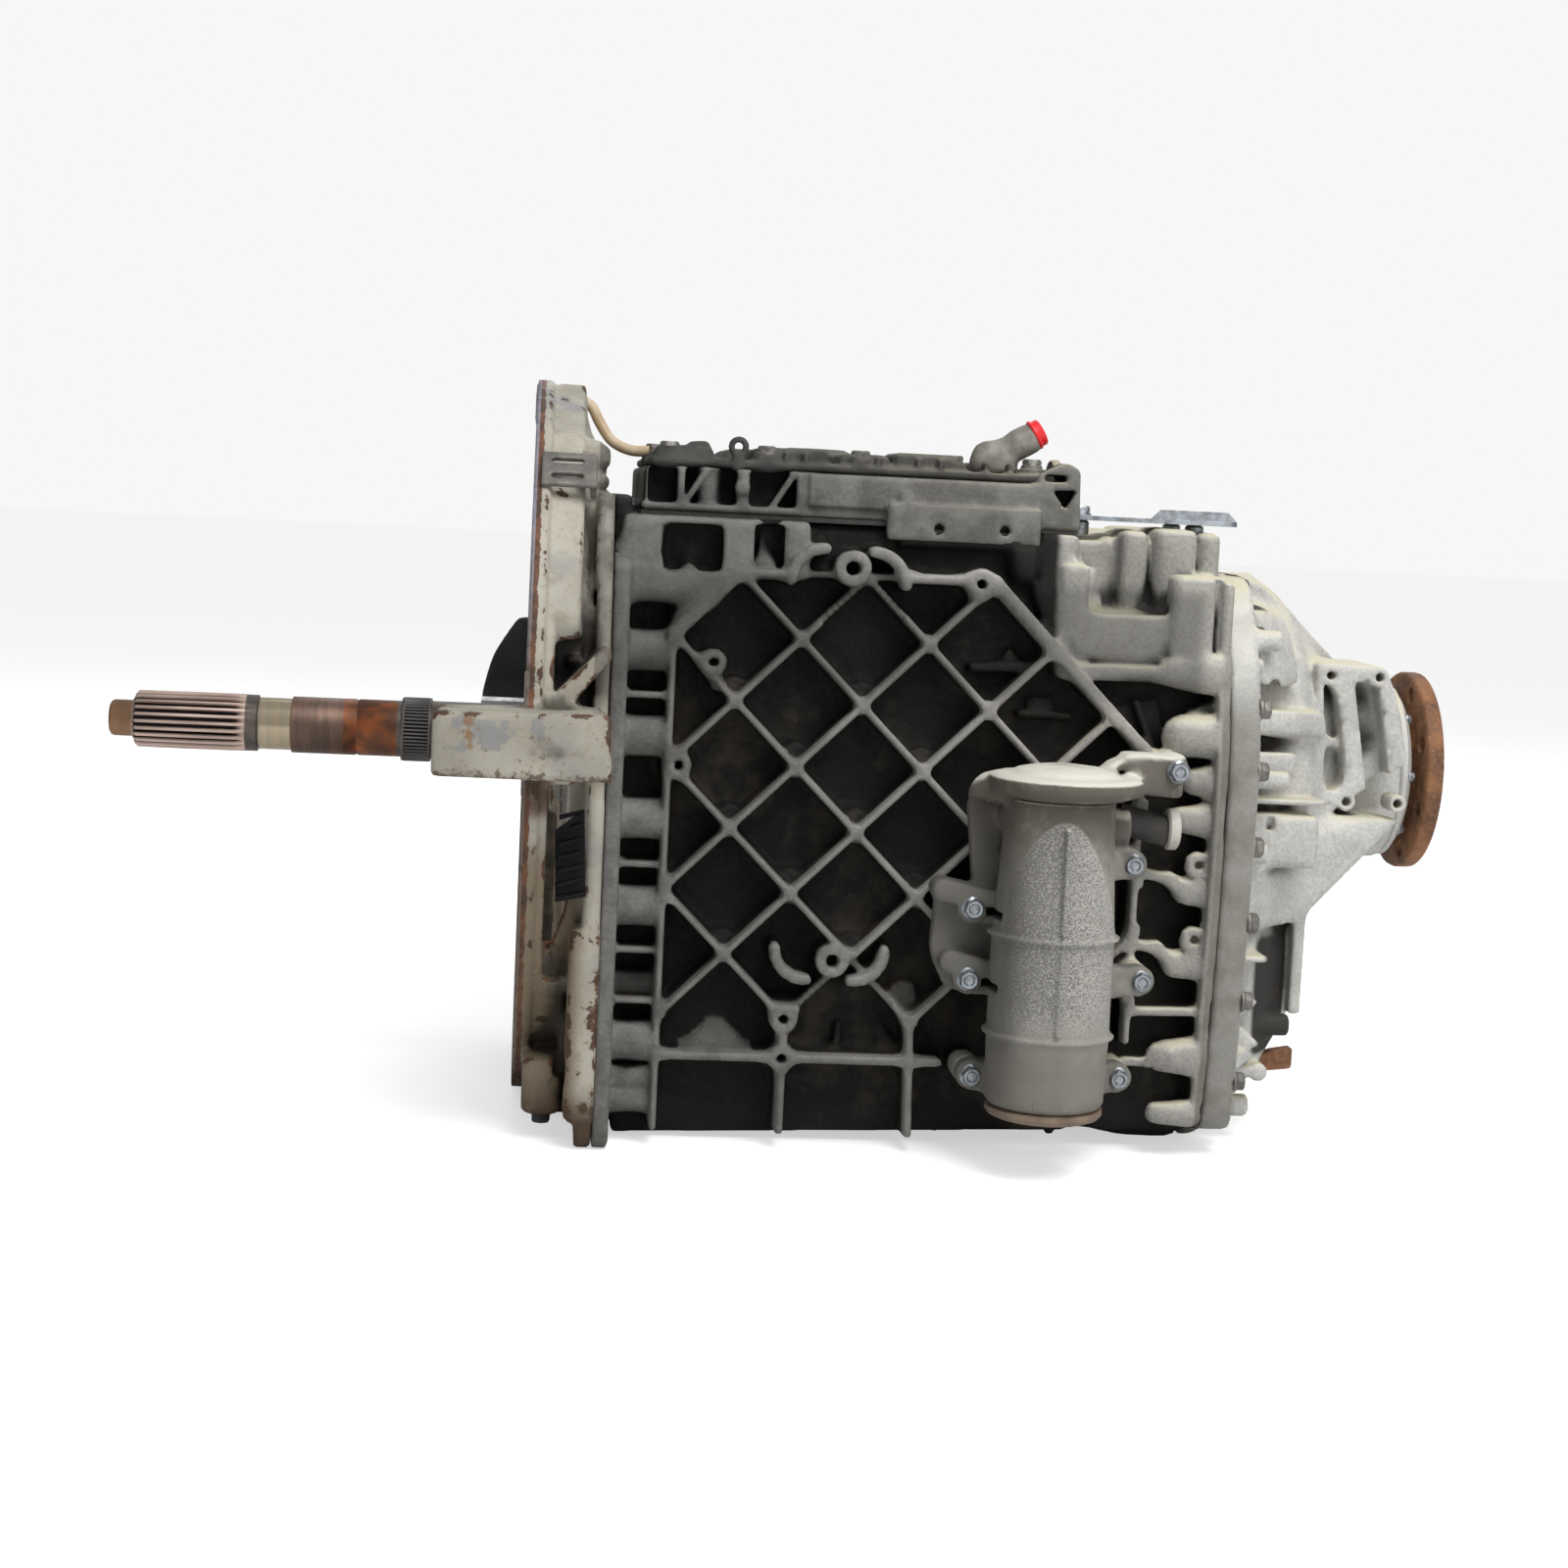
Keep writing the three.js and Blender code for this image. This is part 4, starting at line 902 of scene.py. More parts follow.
# ---------------------------------------------------------------- shared outlines
JOINT_FRONT = 67
JOINT_REAR = 580
SKIN_Y, RIB_Y, FAR_Y = -205, -240, 232
NEAR_ROOT, NEAR_OUT = -200, -262     # features of the near wall start inside it, cuts start outside it
CASE_FLANGE = [(-262, -316), (262, -316), (262, 120), (205, 218), (-205, 218), (-262, 120)]
REAR_JOINT = [(-231, -294), (236, -294), (250, -150), (250, 50), (238, 92), (182, 173), (-178, 173),
              (-238, 92), (-250, 50), (-250, -150)]
PITCH, NODE_X, NODE_Z, RIB = 52.3, 222.5, 3, 4.8


# ---------------------------------------------------------------- main case
def lattice():
    """Ribs crossing at 45 degrees inside the panel's border, with bosses at the crossings."""
    def crossing(a, b):
        u, v = a - NODE_X, b - NODE_Z
        lines = [np.abs((w + PITCH) % (2 * PITCH) - PITCH) / math.sqrt(2) - RIB / 2 for w in (u - v, u + v)]
        return smooth_min(lines[0], lines[1], 6)

    panel = convex([(117.5, -206), (117.5, 108), (170, 161), (379, 161), (516, 24), (514, -206)])
    border = joined([
        bar((117.5, 108), (117.5, -300), 5.5), bar((117.5, 108), (170, 161), 9),
        bar((170, 160), (204, 160), 7), bar((304, 161), (379, 161), 7), bar((379, 161), (431.7, 107.6), 9),
        bar((431.7, 107.6), (516, 24), 8), bar((509, 30), (509, -215), 6), bar((117.5, -239), (352, -239), 7),
        bar((222, -206), (222, -300), 7), bar((327, -206), (330, -300), 6.5), disc(151, 86, 10),
disc(367, 159, 12), disc(126, 1, 10), disc(222, -206, 11), disc(222, -239, 10),
    ], 5)

    def distance(a, b):
        inside = np.maximum(crossing(a, b), panel[4](a, b))
        return smooth_min(inside, border[4](a, b), 8)

    return 75, -302, 520, 175, distance


FILTER_EARS = ((399, -24), (366, -100), (365, -158), (374, -240), (496, -239), (510, -158), (498, -62),
               (527, 17))
FRONT_BOSSES = (93, 23, -45, -117, -230)
FRONT_PLATES = (57, -82, -153, -195)
REAR_BOSSES = ((524, 93, 13, 17), (530, 41, 18, 19), (547, 3, 12, 15), (537, -29, 11, 15), (545, -88, 12, 14),
               (540, -150, 12, 14), (533, -229, 14, 17), (534, -278, 10, 12))


def standing(outline, face, edge=1.5, draft=0):
    """A feature of the near wall, rooted inside it, with its face at a station of Y."""
    return prism("y", outline, face, NEAR_ROOT, edge, draft)


def sunk(outline, floor, edge=2):
    """A recess in the near wall, down to a station of Y."""
    return prism("y", outline, NEAR_OUT, floor, edge)


def main_case():
    case = Casting([(64, 584, 2.2)], [(-266, -196, 2.2), (-196, 200, 5.5), (200, 266, 2.8)],
                   [(-328, 222, 2.2)])
    add, cut = case.add, case.cut
    add(block((JOINT_FRONT, 574), (SKIN_Y, FAR_Y), (-302, 202), 16))
    add(prism("x", convex(CASE_FLANGE, 20), JOINT_FRONT + 0.3, 81, 2.5), 5)
    add(hull([(84, -204, -313), (200, -204, -309), (470, -204, -301), (84, -204, -290), (470, -204, -290),
              (84, 180, -313), (200, 180, -309), (470, 180, -301), (84, 180, -290), (470, 180, -290)], 4), 3)
    add(hull([(466, y, -298) for y in (-180, 180)] + [(500, y, -308) for y in (-176, 176)]
             + [(530, y, -315) for y in (-168, 168)] + [(576, y, -315.5) for y in (-160, 160)]
             + [(576, y, -290) for y in (-190, 190)] + [(466, y, -286) for y in (-190, 190)], 6), 8)

    # Top rear: the near shoulder drops to a pocket, with cast lumps behind it.
    cut(block((456, 600), (-280, -128), (177, 240), 8), 8)
    add(block((455, 574), (-224, -190), (98, 176), 8), 8)
    cut(block((457, 530), (-260, -140), (139, 260), 8), 4)
    cut(block((500, 600), (-260, -140), (173, 240), 6), 4)
    for x0, x1, top in ((482, 494, 203), (496, 519, 208), (523, 560, 211), (563, 582, 209)):
        add(block((x0, x1), (-120, 60), (150, top), 7), 5)

    # Ribbed near wall, with a deep gap above it.
    cut(block((207, 420), (-262, -199), (163, 216), 5), 3)
    add(standing(lattice(), RIB_Y, 0.8, 0.05))
    for left, right in (((255, 147, 30), (285, 147, 26)), ((245, -176, 22), (288, -178, 26))):
        cut(sunk(joined([disc(*left), disc(*right)], 10), -229))
    for u, v, r, a, b in ((238, 155, 27, 90, 178), (278, 154, 27, 2, 90), (238, -147, 26, 180, 272),
                          (277, -147, 26, 268, 360)):
        add(standing(hook(u, v, r, a, b, 9), -241, 2, 0.02))
    for ends in (((204, 160), (252, 161)), ((268, 161), (306, 161))):
        add(prism("y", bar(*ends, 6), -228, -190, 1.5))
    for x, z, r, hole in ((151, 86, 10, 4), (261, 167, 15, 6.2), (367, 159, 12, 4), (126, 1, 10, 4),
                          (260, -156, 14, 5.5), (222, -206, 11, 4), (222, -239, 10, 4)):
        add(standing(disc(x, z, r), -242))
        cut(sunk(disc(x, z, hole), -212, 0.5), 0.8)
    add(standing(bar((151, 80), (155, 68), 12), -228))
    for i in range(-1, 5):
        for j in range(-4, 2):
            x, z = NODE_X + i * PITCH, NODE_Z + j * PITCH
            if (i + j) % 2 == 0 and 118 < x < 500 and z < 430 - x and not (x > 340 and z < 30):
                add(standing(disc(x, z + 9, 10), -222, 2), 5)
    add(hull([(135, -206, -236), (200, -206, -236), (168, -206, -207), (140, -216, -238), (196, -216, -238),
              (168, -200, -210)], 3))
    add(hull([(300, -206, -236), (330, -206, -236), (302, -206, -205), (304, -218, -238), (328, -218, -238)],
             3))
    add(standing(bar((269, -236), (270, -214), 6), -218), 4)
    add(standing(disc(322, -184, 12), -226, 2), 5)

    # Ledges by the upper right border.
    add(standing(bar((366, 90), (412, 92), 8), -222))
    add(standing(convex([(386, 92), (410, 92), (397, 108)], 2), -216))
    add(standing(bar((408, 53), (449, 52), 6), -220))
    add(standing(rect((414, 436), (53, 67), 3), -214))
    add(block((434, 528), (-232, -200), (84, 97)), 4)
    add(standing(convex([(432, 108), (412, 130), (412, 160), (427, 160), (456, 140), (460, 96), (436, 98)],
                        4), -217, 3), 8)
    add(block((436, 458), (-222, -196), (96, 178), 4), 8)
    add(standing(bar((505, 66), (519, 32), 6), -222), 4)
    add(standing(convex([(484, 60), (525, 71), (533, 30), (500, 36)], 3), -212, 2), 4)

    # Strip between the front flange and the lattice.
    for z in FRONT_BOSSES:
        add(rod("x", (-221.5, z), 17.5, 74, 115, 4))
    add(rod("x", (-218, -278), 15, 74, 115, 4))
    add(block((76, 117), (-232, -200), (-267, -250)), 4)
    for z in FRONT_PLATES:
        add(block((76, 117), (-236, -200), (z - 2.6, z + 2.6), 1.5), 2.5)
    add(block((76, 117), (-226, -200), (-191, -172)))
    cut(block((84, 112), (-250, -212), (-312, -292)))

    # Upper left block with its windows and the round duct below them.
    add(block((JOINT_FRONT + 6, 226), (-233, -200), (156, 203), 5), 5)
    add(rod("x", (-221, 145), 14.5, 74, 152, 3), 9)
    add(hull([(118, -236, 110), (170, -236, 162), (118, -205, 104), (112, -205, 140), (140, -236, 156),
              (170, -205, 162)], 4), 5)
    cut(sunk(rect((106, 155), (159, 197), 5), -211), 1.5)
    add(standing(disc(128, 158, 7), -228, 2))
    add(rod("z", (129, -207), 7, 152, 186, 5), 4)
    cut(sunk(rect((180, 205), (163, 199), 3), -209), 1.5)
    add(hull([(181, -209, 165), (204, -209, 165), (186, -209, 197), (181, -231, 165), (200, -231, 165),
              (184, -222, 190)], 4), 4)
    cut(sunk(convex([(180, 214), (206, 214), (200, 200), (186, 200)], 3), -214))
    add(hull([(388, -206, 196), (420, -206, 196), (392, -206, 156), (418, -206, 158), (392, -224, 190),
              (418, -224, 190), (396, -224, 164), (416, -224, 164), (388, -190, 196), (420, -190, 196),
              (392, -190, 156), (418, -190, 158)], 7), 4)
    add(block((300, 400), (-214, -190), (186, 202), 4))
    add(block((418, 450), (-214, -180), (140, 202), 4), 5)
    cut(sunk(rect((85, 110), (112, 131), 6), -206))

    # Rear joint flange with its bosses, arms and tabs.
    add(prism("x", convex(REAR_JOINT, 22), 570, JOINT_REAR, 1.5), 5)
    for x, z, r, rear in REAR_BOSSES:
        add(tube([(x + r * 0.75, -226, z), (566, -226, z)], r, rear), 4)
    add(tube([(552, -222, 60), (574, -222, 69)], 5, 4), 5)
    for z in (-66, -129):
        add(prism("y", joined([disc(562, z, 11), rect((562, 580), (z - 10, z + 9), 2)], 2), -238, -222))
        cut(sunk(disc(563, z, 4), -228, 0.5), 0.8)
    for points, widths in (([(514, -74), (540, -79), (556, -92), (576, -92)], (8, 10, 13)),
                           ([(514, -135), (532, -137), (550, -153), (576, -153)], (8, 10, 15))):
        arm = joined([bar(a, b, w) for a, b, w in zip(points, points[1:], widths)], 6)
        add(standing(arm, -236, 3, 0.05), 4)
    for start, end, width, face in (((512, -191), (577, -190), 7, -236), ((512, -234), (540, -236), 8, -232),
                                    ((509, -100), (492, -200), 5, -226), ((496, -206), (506, -236), 5, -222)):
        add(standing(bar(start, end, width), face), 4)
    add(standing(rect((545, 580), (80, 170), 6), -232, 5), 8)
    add(standing(rect((529, 566), (104, 173), 9), -230, 5), 4)
    cut(prism("y", bar((567, 112), (567, 168), 6), -250, -222), 4)

    # Pads that carry the filter housing.
    for x, z in FILTER_EARS:
        add(standing(disc(x, z, 12), -258, 2), 5)

    # Far wall: plainer ribs and joint bosses.
    for z in (-240, -150, -60, 30, 120):
        add(block((81, 570), (FAR_Y - 4, FAR_Y + 14), (z - 3.5, z + 3.5), 1.5), 6)
    for x in (150, 250, 350, 450):
        add(block((x - 3.5, x + 3.5), (FAR_Y - 4, FAR_Y + 14), (-296, 180), 1.5), 6)
    for z in (-275, -195, -105, -15, 75):
        add(rod("x", (FAR_Y + 4, z), 14, 74, 112, 4), 4)
        add(rod("x", (FAR_Y - 2, z + 10), 13, 538, 576, 4), 4)
    add(rod("y", (300, -40), 46, FAR_Y - 4, FAR_Y + 18, 3), 6)
    cut(rod("y", (300, -40), 34, FAR_Y + 12, FAR_Y + 30))

    # Bottom: shallow ribs and a drain boss.
    for x in (160, 260, 360, 460):
        add(block((x - 3, x + 3), (-190, 215), (-309, -296), 1.5), 6)
    add(rod("z", (300, 20), 22, -311, -296), 4)

    # Inside: the gear chamber and its openings.
    cut(prism("x", convex([(SKIN_Y + 9, -292), (FAR_Y - 9, -292), (FAR_Y - 9, 190), (SKIN_Y + 9, 190)], 20),
              40, 556, 3))
    cut(block((140, 420), (-110, 110), (150, 240), 4), 1)
    add(block((448, 572), (-196, -80), (98, 134)), 1)
    add(block((448, 572), (-150, -80), (120, 198)), 1)
    for x0, x1, y0, top in ((462, 480, -156, 181), (481, 495, -150, 203), (496, 520, -166, 208),
                            (523, 560, -176, 211), (563, 582, -168, 209)):
        add(block((x0, x1), (y0, -84), (132, top), 7), 5)
    add(hull([(456, -204, 134), (560, -204, 134), (456, -150, 134), (566, -150, 134), (456, -150, 144),
              (566, -150, 148)], 2), 4)
    cut(rod("x", (0, 0), 62.4, 540, 600, 0), 0)
    cut(rod("x", (0, -150), 42.4, 540, 600, 0), 0)
    return case.piece("main_case", CASE_METAL, ["main_housing"], "cast_aluminium", adaptivity=0.35)


# ---------------------------------------------------------------- clutch housing
RIM_R, RIM_INNER, RIM_END = 314, 280, 42


def bell_housing():
    bell = Casting([(-76, -60, 2.2), (-60, -6, 9), (-6, 82, 2.2)], [(-354, 336, 2.5)], [(-320, 316, 2.4)])
    add, cut = bell.add, bell.cut
    add(turned("x", (0, 0), [(0, 262), (0, RIM_R), (13, RIM_R), (15, 307), (RIM_END - 3, 304), (RIM_END, 300),
                             (RIM_END, 262)]))
    add(prism("x", convex([(-70, 240), (70, 240), (48, 311), (-48, 311)], 14), 0, RIM_END, 4), 6)
    cut(block((14, 18), (-120, 120), (309, 330), 1))
    add(prism("x", convex(CASE_FLANGE, 20), 53, JOINT_FRONT - 0.3), 2)
    add(turned("x", (0, 0), [(30, 215), (30, 282), (44, 277), (53, 262), (60, 246), (60, 215)]), 8)
    add(prism("x", convex([(-214, -286), (214, -286), (214, 90), (170, 176), (-170, 176), (-214, 90)], 30),
              38, 60, 6), 8)

    # Near side: plateau and lumps above, the foot, then the recess for the grille.
    add(hull([(38, -206, 150), (60, -206, 150), (38, -198, 208), (58, -198, 210), (38, -150, 150),
              (60, -150, 150), (38, -150, 214), (58, -150, 216)], 8), 5)
    cut(block((53, 62), (-240, -196), (126, 140)), 3)
    for z0, z1 in ((238, 257), (221, 233)):
        add(block((40, 63), (-154, -126), (z0, z1), 6))
    add(block((40, 57), (-150, -90), (200, 262), 7), 6)
    cut(block((44, 53), (-330, -240), (40, 240), 5), 5)
    add(hull([(-70, -350, -6), (70, -350, -6), (-70, -350, 48), (68, -350, 50), (-66, -280, 0), (66, -270, 0),
              (-66, -280, 48), (60, -270, 50)], 5), 7)
    cut(hull([(21, -345, -12), (56, -345, -12), (21, -345, -160), (56, -345, -194), (21, -240, -12),
              (52, -240, -12), (21, -240, -152), (52, -240, -190)], 3), 4)
    add(block((43, 66), (-266, -236), (-292, -134), 6), 8)
    add(block((54, 66), (-266, -236), (-134, -30), 4), 4)
    cut(block((22, 37), (-300, -236), (-176, -150), 4), 3)
    add(block((9, RIM_END), (-232, -176), (-294, -246), 7), 7)
    cut(hull([(22, -270, -230), (40, -270, -233), (33, -270, -219), (22, -214, -230), (40, -214, -233),
              (33, -214, -219)], 2), 3)
    cut(block((34, 44), (-270, -216), (-262, -240), 4), 3)

    # Other side: a boss for the far bracket, with webs.
    add(block((0, 60), (284, 330), (-8, 70), 6), 8)
    for z in (-160, -90, 130):
        add(block((20, 62), (236, 272), (z - 4, z + 4), 2), 6)
    for y in (-140, 0, 140):
        add(block((20, 62), (y - 4, y + 4), (-312, -276), 2), 6)

    # Bay, the pocket above the foot with its arm, partition with its ribs, bearing seats, bolt circle.
    cut(turned("x", (0, 0), [(-20, 0), (-20, RIM_INNER), (29, RIM_INNER), (38, 266), (38, 0)]))
    add(block((15, 42), (-276, -236), (40, 114), 5))
    cut(block((22, 53), (-330, -248), (52, 101), 6), 3)
    add(prism("y", bar((20, 44), (61, 90), 17, 12), -298, -240, 3))
    cut(block((48, 60), (-330, -280), (46, 62)), 3)
    for i in range(10):
        angle = math.pi * (i + 0.5) / 5
        near, far = 66, 276
        if abs(math.sin(angle)) > 0.3 or math.cos(angle) > 0:
            add(prism("x", bar((near * math.cos(angle), near * math.sin(angle)),
                               (far * math.cos(angle), far * math.sin(angle)), 8), 32, 44), 6)
    cut(prism("x", convex([(-190, -285), (220, -285), (220, 185), (-190, 185)], 24), 57, 90, 3), 1)
    add(rod("x", (0, 0), 69, 24, 77), 6)
    add(rod("x", (0, -150), 54, 46, 77), 6)
    cut(rod("x", (0, 0), 55.4, -20, 90, 0), 0)
    cut(rod("x", (0, -150), 42.4, 58, 90, 0), 0)
    for i in range(12):
        angle = (i + 0.5) * math.pi / 6
        cut(rod("x", (297 * math.cos(angle), 297 * math.sin(angle)), 6.5, -20, 30, 0), 0.5)
    cut(rod("z", (22, 190), 7, 232, 330, 0), 0.5)
    return bell.piece("bell_housing", CREAM, ["clutch_housing"], "painted_iron", 0.15)


# ---------------------------------------------------------------- range housing
def joint_points(inset, spacing):
    """Evenly spaced points round the rear joint, a little inside its outline."""
    centre = np.mean(REAR_JOINT, axis=0)
    points = []
    for i, a in enumerate(REAR_JOINT):
        a, b = np.array(a, float), np.array(REAR_JOINT[(i + 1) % len(REAR_JOINT)], float)
        length = np.linalg.norm(b - a)
        count = max(1, round(length / spacing))
        for k in range(count):
            p = a + (b - a) * (k + 0.5) / count
            points.append(p + (centre - p) / np.linalg.norm(centre - p) * inset)
    return points


PAD_OUTLINE = [(682, 102), (741, 101), (752, 88), (779, -20), (776, -34), (708, -24), (690, -36)]
RECESSES = ([(689, 90), (703, 74), (715, 4), (712, -6), (698, -12)],
            [(717, 87), (739, 84), (755, -5), (736, -19)])


def range_case():
    case = Casting([(578, 796, 2.3)], [(-258, -90, 2.3), (-90, 258, 4.2)], [(-328, 180, 2.3)])
    add, cut = case.add, case.cut
    add(prism("x", convex(REAR_JOINT, 22), JOINT_REAR + 0.3, 606, 3), 2)
    add(turned("x", (0, 0), [(596, 0), (596, 182), (612, 176), (640, 172), (668, 161), (702, 122), (724, 95),
                             (742, 83), (781, 81), (781, 0)]), 6)
    add(hull([(604, -210, -40), (604, -214, -110), (604, 210, -40), (604, 210, -160), (690, -138, -40),
              (636, -176, -130), (716, -96, -84), (716, 96, -84), (636, 176, -130), (690, 138, -40)], 8), 5)
    add(hull([(604, -186, -80), (604, 186, -80), (604, -196, -276), (604, 196, -276), (650, -130, -262),
              (650, 130, -262), (664, -132, -229), (664, 132, -229), (684, -120, -202), (684, 120, -202),
              (680, -120, -100), (680, 120, -100)], 5), 4)
    add(block((674, 684), (-144, -126), (-206, -100), 2), 2)
    for x, z in ((640, -286), (672, -214)):
        add(rod("x", (-150, z), 10, 604, x, 3), 5)

    # Near side of the barrel: a lobe above, a shelf, an arch and a lower block.
    add(hull([(604, -196, 148), (626, -178, 150), (604, -214, 80), (640, -196, 84), (652, -150, 138),
              (672, -150, 76), (640, -120, 150), (604, -120, 156)], 12), 6)
    cut(rod("y", (614, 152), 6, -260, -150), 3)
    cut(rod("y", (629, 84), 5, -260, -165), 3)
    add(hull([(606, -206, 66), (652, -196, 66), (684, -160, 62), (690, -156, 40), (650, -196, 42),
              (606, -206, 42), (690, -110, 60), (606, -120, 60), (690, -110, 30)], 6), 5)
    add(hull([(606, -204, 30), (652, -190, 30), (680, -150, 10), (606, -204, 6), (652, -190, 6),
              (606, -110, 10), (680, -100, 10)], 6), 4)
    cut(block((654, 672), (-260, -160), (-6, 22), 6), 4)
    add(block((606, 680), (-190, -110), (-17.5, -12.5), 2))
    add(block((606, 677), (-192, -110), (-72, -26), 7), 5)
    cut(block((630, 637), (-260, -182), (-40, -28), 2))
    for z in (122, -58):
        add(rod("x", (-206, z), 9, 600, 628, 3), 5)
    add(rod("x", (-214, 6), 8, 600, 640, 3), 5)
    add(rod("x", (-206, 101), 6, 600, 614), 4)

    # The pad, its two long recesses and the web below it.
    add(prism("y", convex(PAD_OUTLINE, 8), -130, -60, 2.5, 0.02), 5)
    for outline in RECESSES:
        cut(prism("y", convex(outline, 6), -150, -106), 1.5)
    for x, z in ((696, 91), (739, 91), (717, -19), (763, -19), (700, -22)):
        add(rod("y", (x, z), 8, -131, -100, 1.5))
        cut(rod("y", (x, z), 4, -150, -108, 0.5), 0.8)
    add(hull([(684, -138, -30), (770, -122, -32), (729, -122, -50), (677, -146, -126), (640, -158, -130),
              (640, -170, -60), (684, -60, -30), (764, -60, -34), (726, -60, -52), (672, -60, -118),
              (640, -60, -120)], 4), 5)

    # Gussets, and ribs that run from the joint up the barrel.
    add(prism("y", convex([(604, -196), (640, -226), (604, -240)], 3), -186, -120), 4)
    add(prism("y", bar((604, -150), (636, -150), 6), -196, -120), 4)
    add(prism("y", joined([bar((606, -258), (640, -250), 9), disc(642, -252, 8)], 3), -176, -120), 4)
    for z in (-190, -236):
        add(hull([(604, -214, z + 12), (604, -214, z - 14), (640, -176, z), (604, -150, z + 12),
                  (604, -150, z - 14), (640, -140, z)], 4), 6)
    for i in range(11):
        angle = math.radians(-60 + 25 * i)
        c, s = math.cos(angle), math.sin(angle)
        side = np.array([0, -s, c]) * 4
        points = []
        for x, r in ((600, 150), (600, 196), (640, 184), (704, 128), (728, 106), (728, 80)):
            for sign in (-1, 1):
                points.append(tuple(np.array([x, r * c, r * s]) + sign * side))
        add(hull(points, 2), 7)
    add(hull([(580.3, -150, -315), (592, -150, -314), (604, -150, -304), (580.3, 150, -315), (592, 150, -314),
              (604, 150, -304), (580.3, -200, -288), (604, -200, -288), (580.3, 200, -288),
              (604, 200, -288)], 3), 5)
    case.keep(block((JOINT_REAR + 0.3, 800), (-262, 262), (-326, 174)), 1)

    cut(turned("x", (0, 0), [(560, 0), (560, 150), (664, 150), (692, 112), (705, 80), (705, 74.4),
                             (800, 74.4), (800, 0)]), 1)
    return case.piece("range_case", RANGE_METAL, ["range_housing"], "dusty_aluminium", 0.15)


# ---------------------------------------------------------------- control housing and its cover
CONTROL_NEAR, CONTROL_FAR = -205, 150


def shift_tower():
    tower = Casting([(84, 462, 2)], [(-220, -140, 2.2), (-140, 196, 5)], [(186, 264, 2)])
    add, cut = tower.add, tower.cut
    add(block((88, 450), (-206, 190), (206.6, 213), 2), 2)
    add(block((91, 430), (CONTROL_NEAR, CONTROL_FAR), (207, 243), 5))
    for x0, x1 in ((93, 117), (123, 166), (176, 215)):
        cut(block((x0, x1), (-240, CONTROL_NEAR + 26), (213, 242)))
    add(rod("z", (143, -190), 10, 212, 242))
    add(prism("y", bar((124, 214), (140, 240), 5), -203, -180, 1.5))
    add(prism("y", bar((196, 214), (212, 240), 5), -203, -180, 1.5))
    add(rod("y", (170, 228), 6, -208, -190, 1.5), 2)
    add(block((224, 418), (-209, -190), (214, 242)), 2)
    cut(block((226, 290), (-220, -204), (206, 215), 2))
    add(block((290, 418), (-215, -200), (191, 222)), 2)
    for x, z in ((333, 202), (388, 203)):
        cut(rod("y", (x, z), 4.2, -230, -190, 0.5), 0.8)
    add(block((299, 312), (-213, -200), (220, 232), 4))

    # Post beside the breather, with a window in it.
    add(hull([(414, -206, 207), (452, -206, 207), (414, -206, 250), (438, -206, 262), (450, -206, 256),
              (414, -176, 207), (452, -176, 207), (414, -176, 250), (438, -176, 262), (450, -176, 256)], 4),
        4)
    cut(prism("y", convex([(427, 238), (448, 239), (439, 222)], 2), -240, -188, 1.5), 1.5)
    cut(block((420, 439), (-240, -190), (245, 251), 2), 1.5)
    add(rod("x", (172, 230), 20, 360, 450, 3), 4)
    for y in (-80, 0, 80, 160):
        add(rod("z", (440, y), 10, 206, 220))
    cut(block((125, 420), (-148, 110), (190, 250), 5), 1)
    cut(rod("x", (0, 224), 10.7, 80, 132, 0), 0)
    return tower.piece("shift_tower", CONTROL_METAL, ["control_housing"], "cast_aluminium", 0.12)


COVER_BOLTS = ((110, -186), (190, -188), (268, -186), (346, -184), (412, -184), (110, 134), (190, 138),
               (268, 138), (346, 138), (412, 134), (104, -30), (424, 0))


def shift_cover():
    cover = Casting([(88, 436, 2)], [(-208, -130, 2), (-130, 158, 4.5)], [(236, 274, 1.9)])
    add, cut = cover.add, cover.cut
    add(block((94, 430), (-200, CONTROL_FAR), (243.4, 250), 2.5), 2)
    for x, y in COVER_BOLTS:
        add(rod("z", (x, y), 11, 242, 256, 2.5), 5)
    add(block((98, 146), (-196, -150), (246, 260), 7), 7)
    add(hull([(120, -190, 250), (146, -190, 250), (126, -186, 264), (143, -186, 266), (120, -120, 250),
              (146, -120, 250), (128, -120, 266), (142, -120, 266)], 4), 5)
    for x0, x1, top in ((182, 242, 262), (250, 292, 260), (296, 350, 263)):
        add(block((x0, x1), (-192, -110), (247, top), 5), 6)
    for x in (206, 222, 262, 282, 316, 334, 372, 392):
        add(block((x - 2, x + 2), (-198, -60), (247, 259), 1.2))
    cut(block((150, 180), (-186, -120), (252, 280), 5), 4)
    add(joined_lug(166, 261), 2)
    cut(rod("y", (166, 261), 3.6, -230, -180, 0), 0.6)
    add(block((160, 330), (-110, 60), (246, 261), 8), 10)
    add(rod("z", (245, -25), 30, 246, 265, 5), 8)
    for x in (160, 240, 320):
        add(block((x - 3, x + 3), (60, 140), (247, 257), 1.5), 5)
    return cover.piece("shift_cover", COVER_METAL, ["control_cover"], "cast_aluminium", 0.12)


def joined_lug(x, z):
    outline = joined([disc(x, z, 8.5), bar((x, z - 4), (x, z - 16), 9)], 3)
    return prism("y", outline, -202, -194, 1.5)


# ---------------------------------------------------------------- oil filter
EAR_FACE, FORK_FACE, PAD_FACE = -276, -291, -258


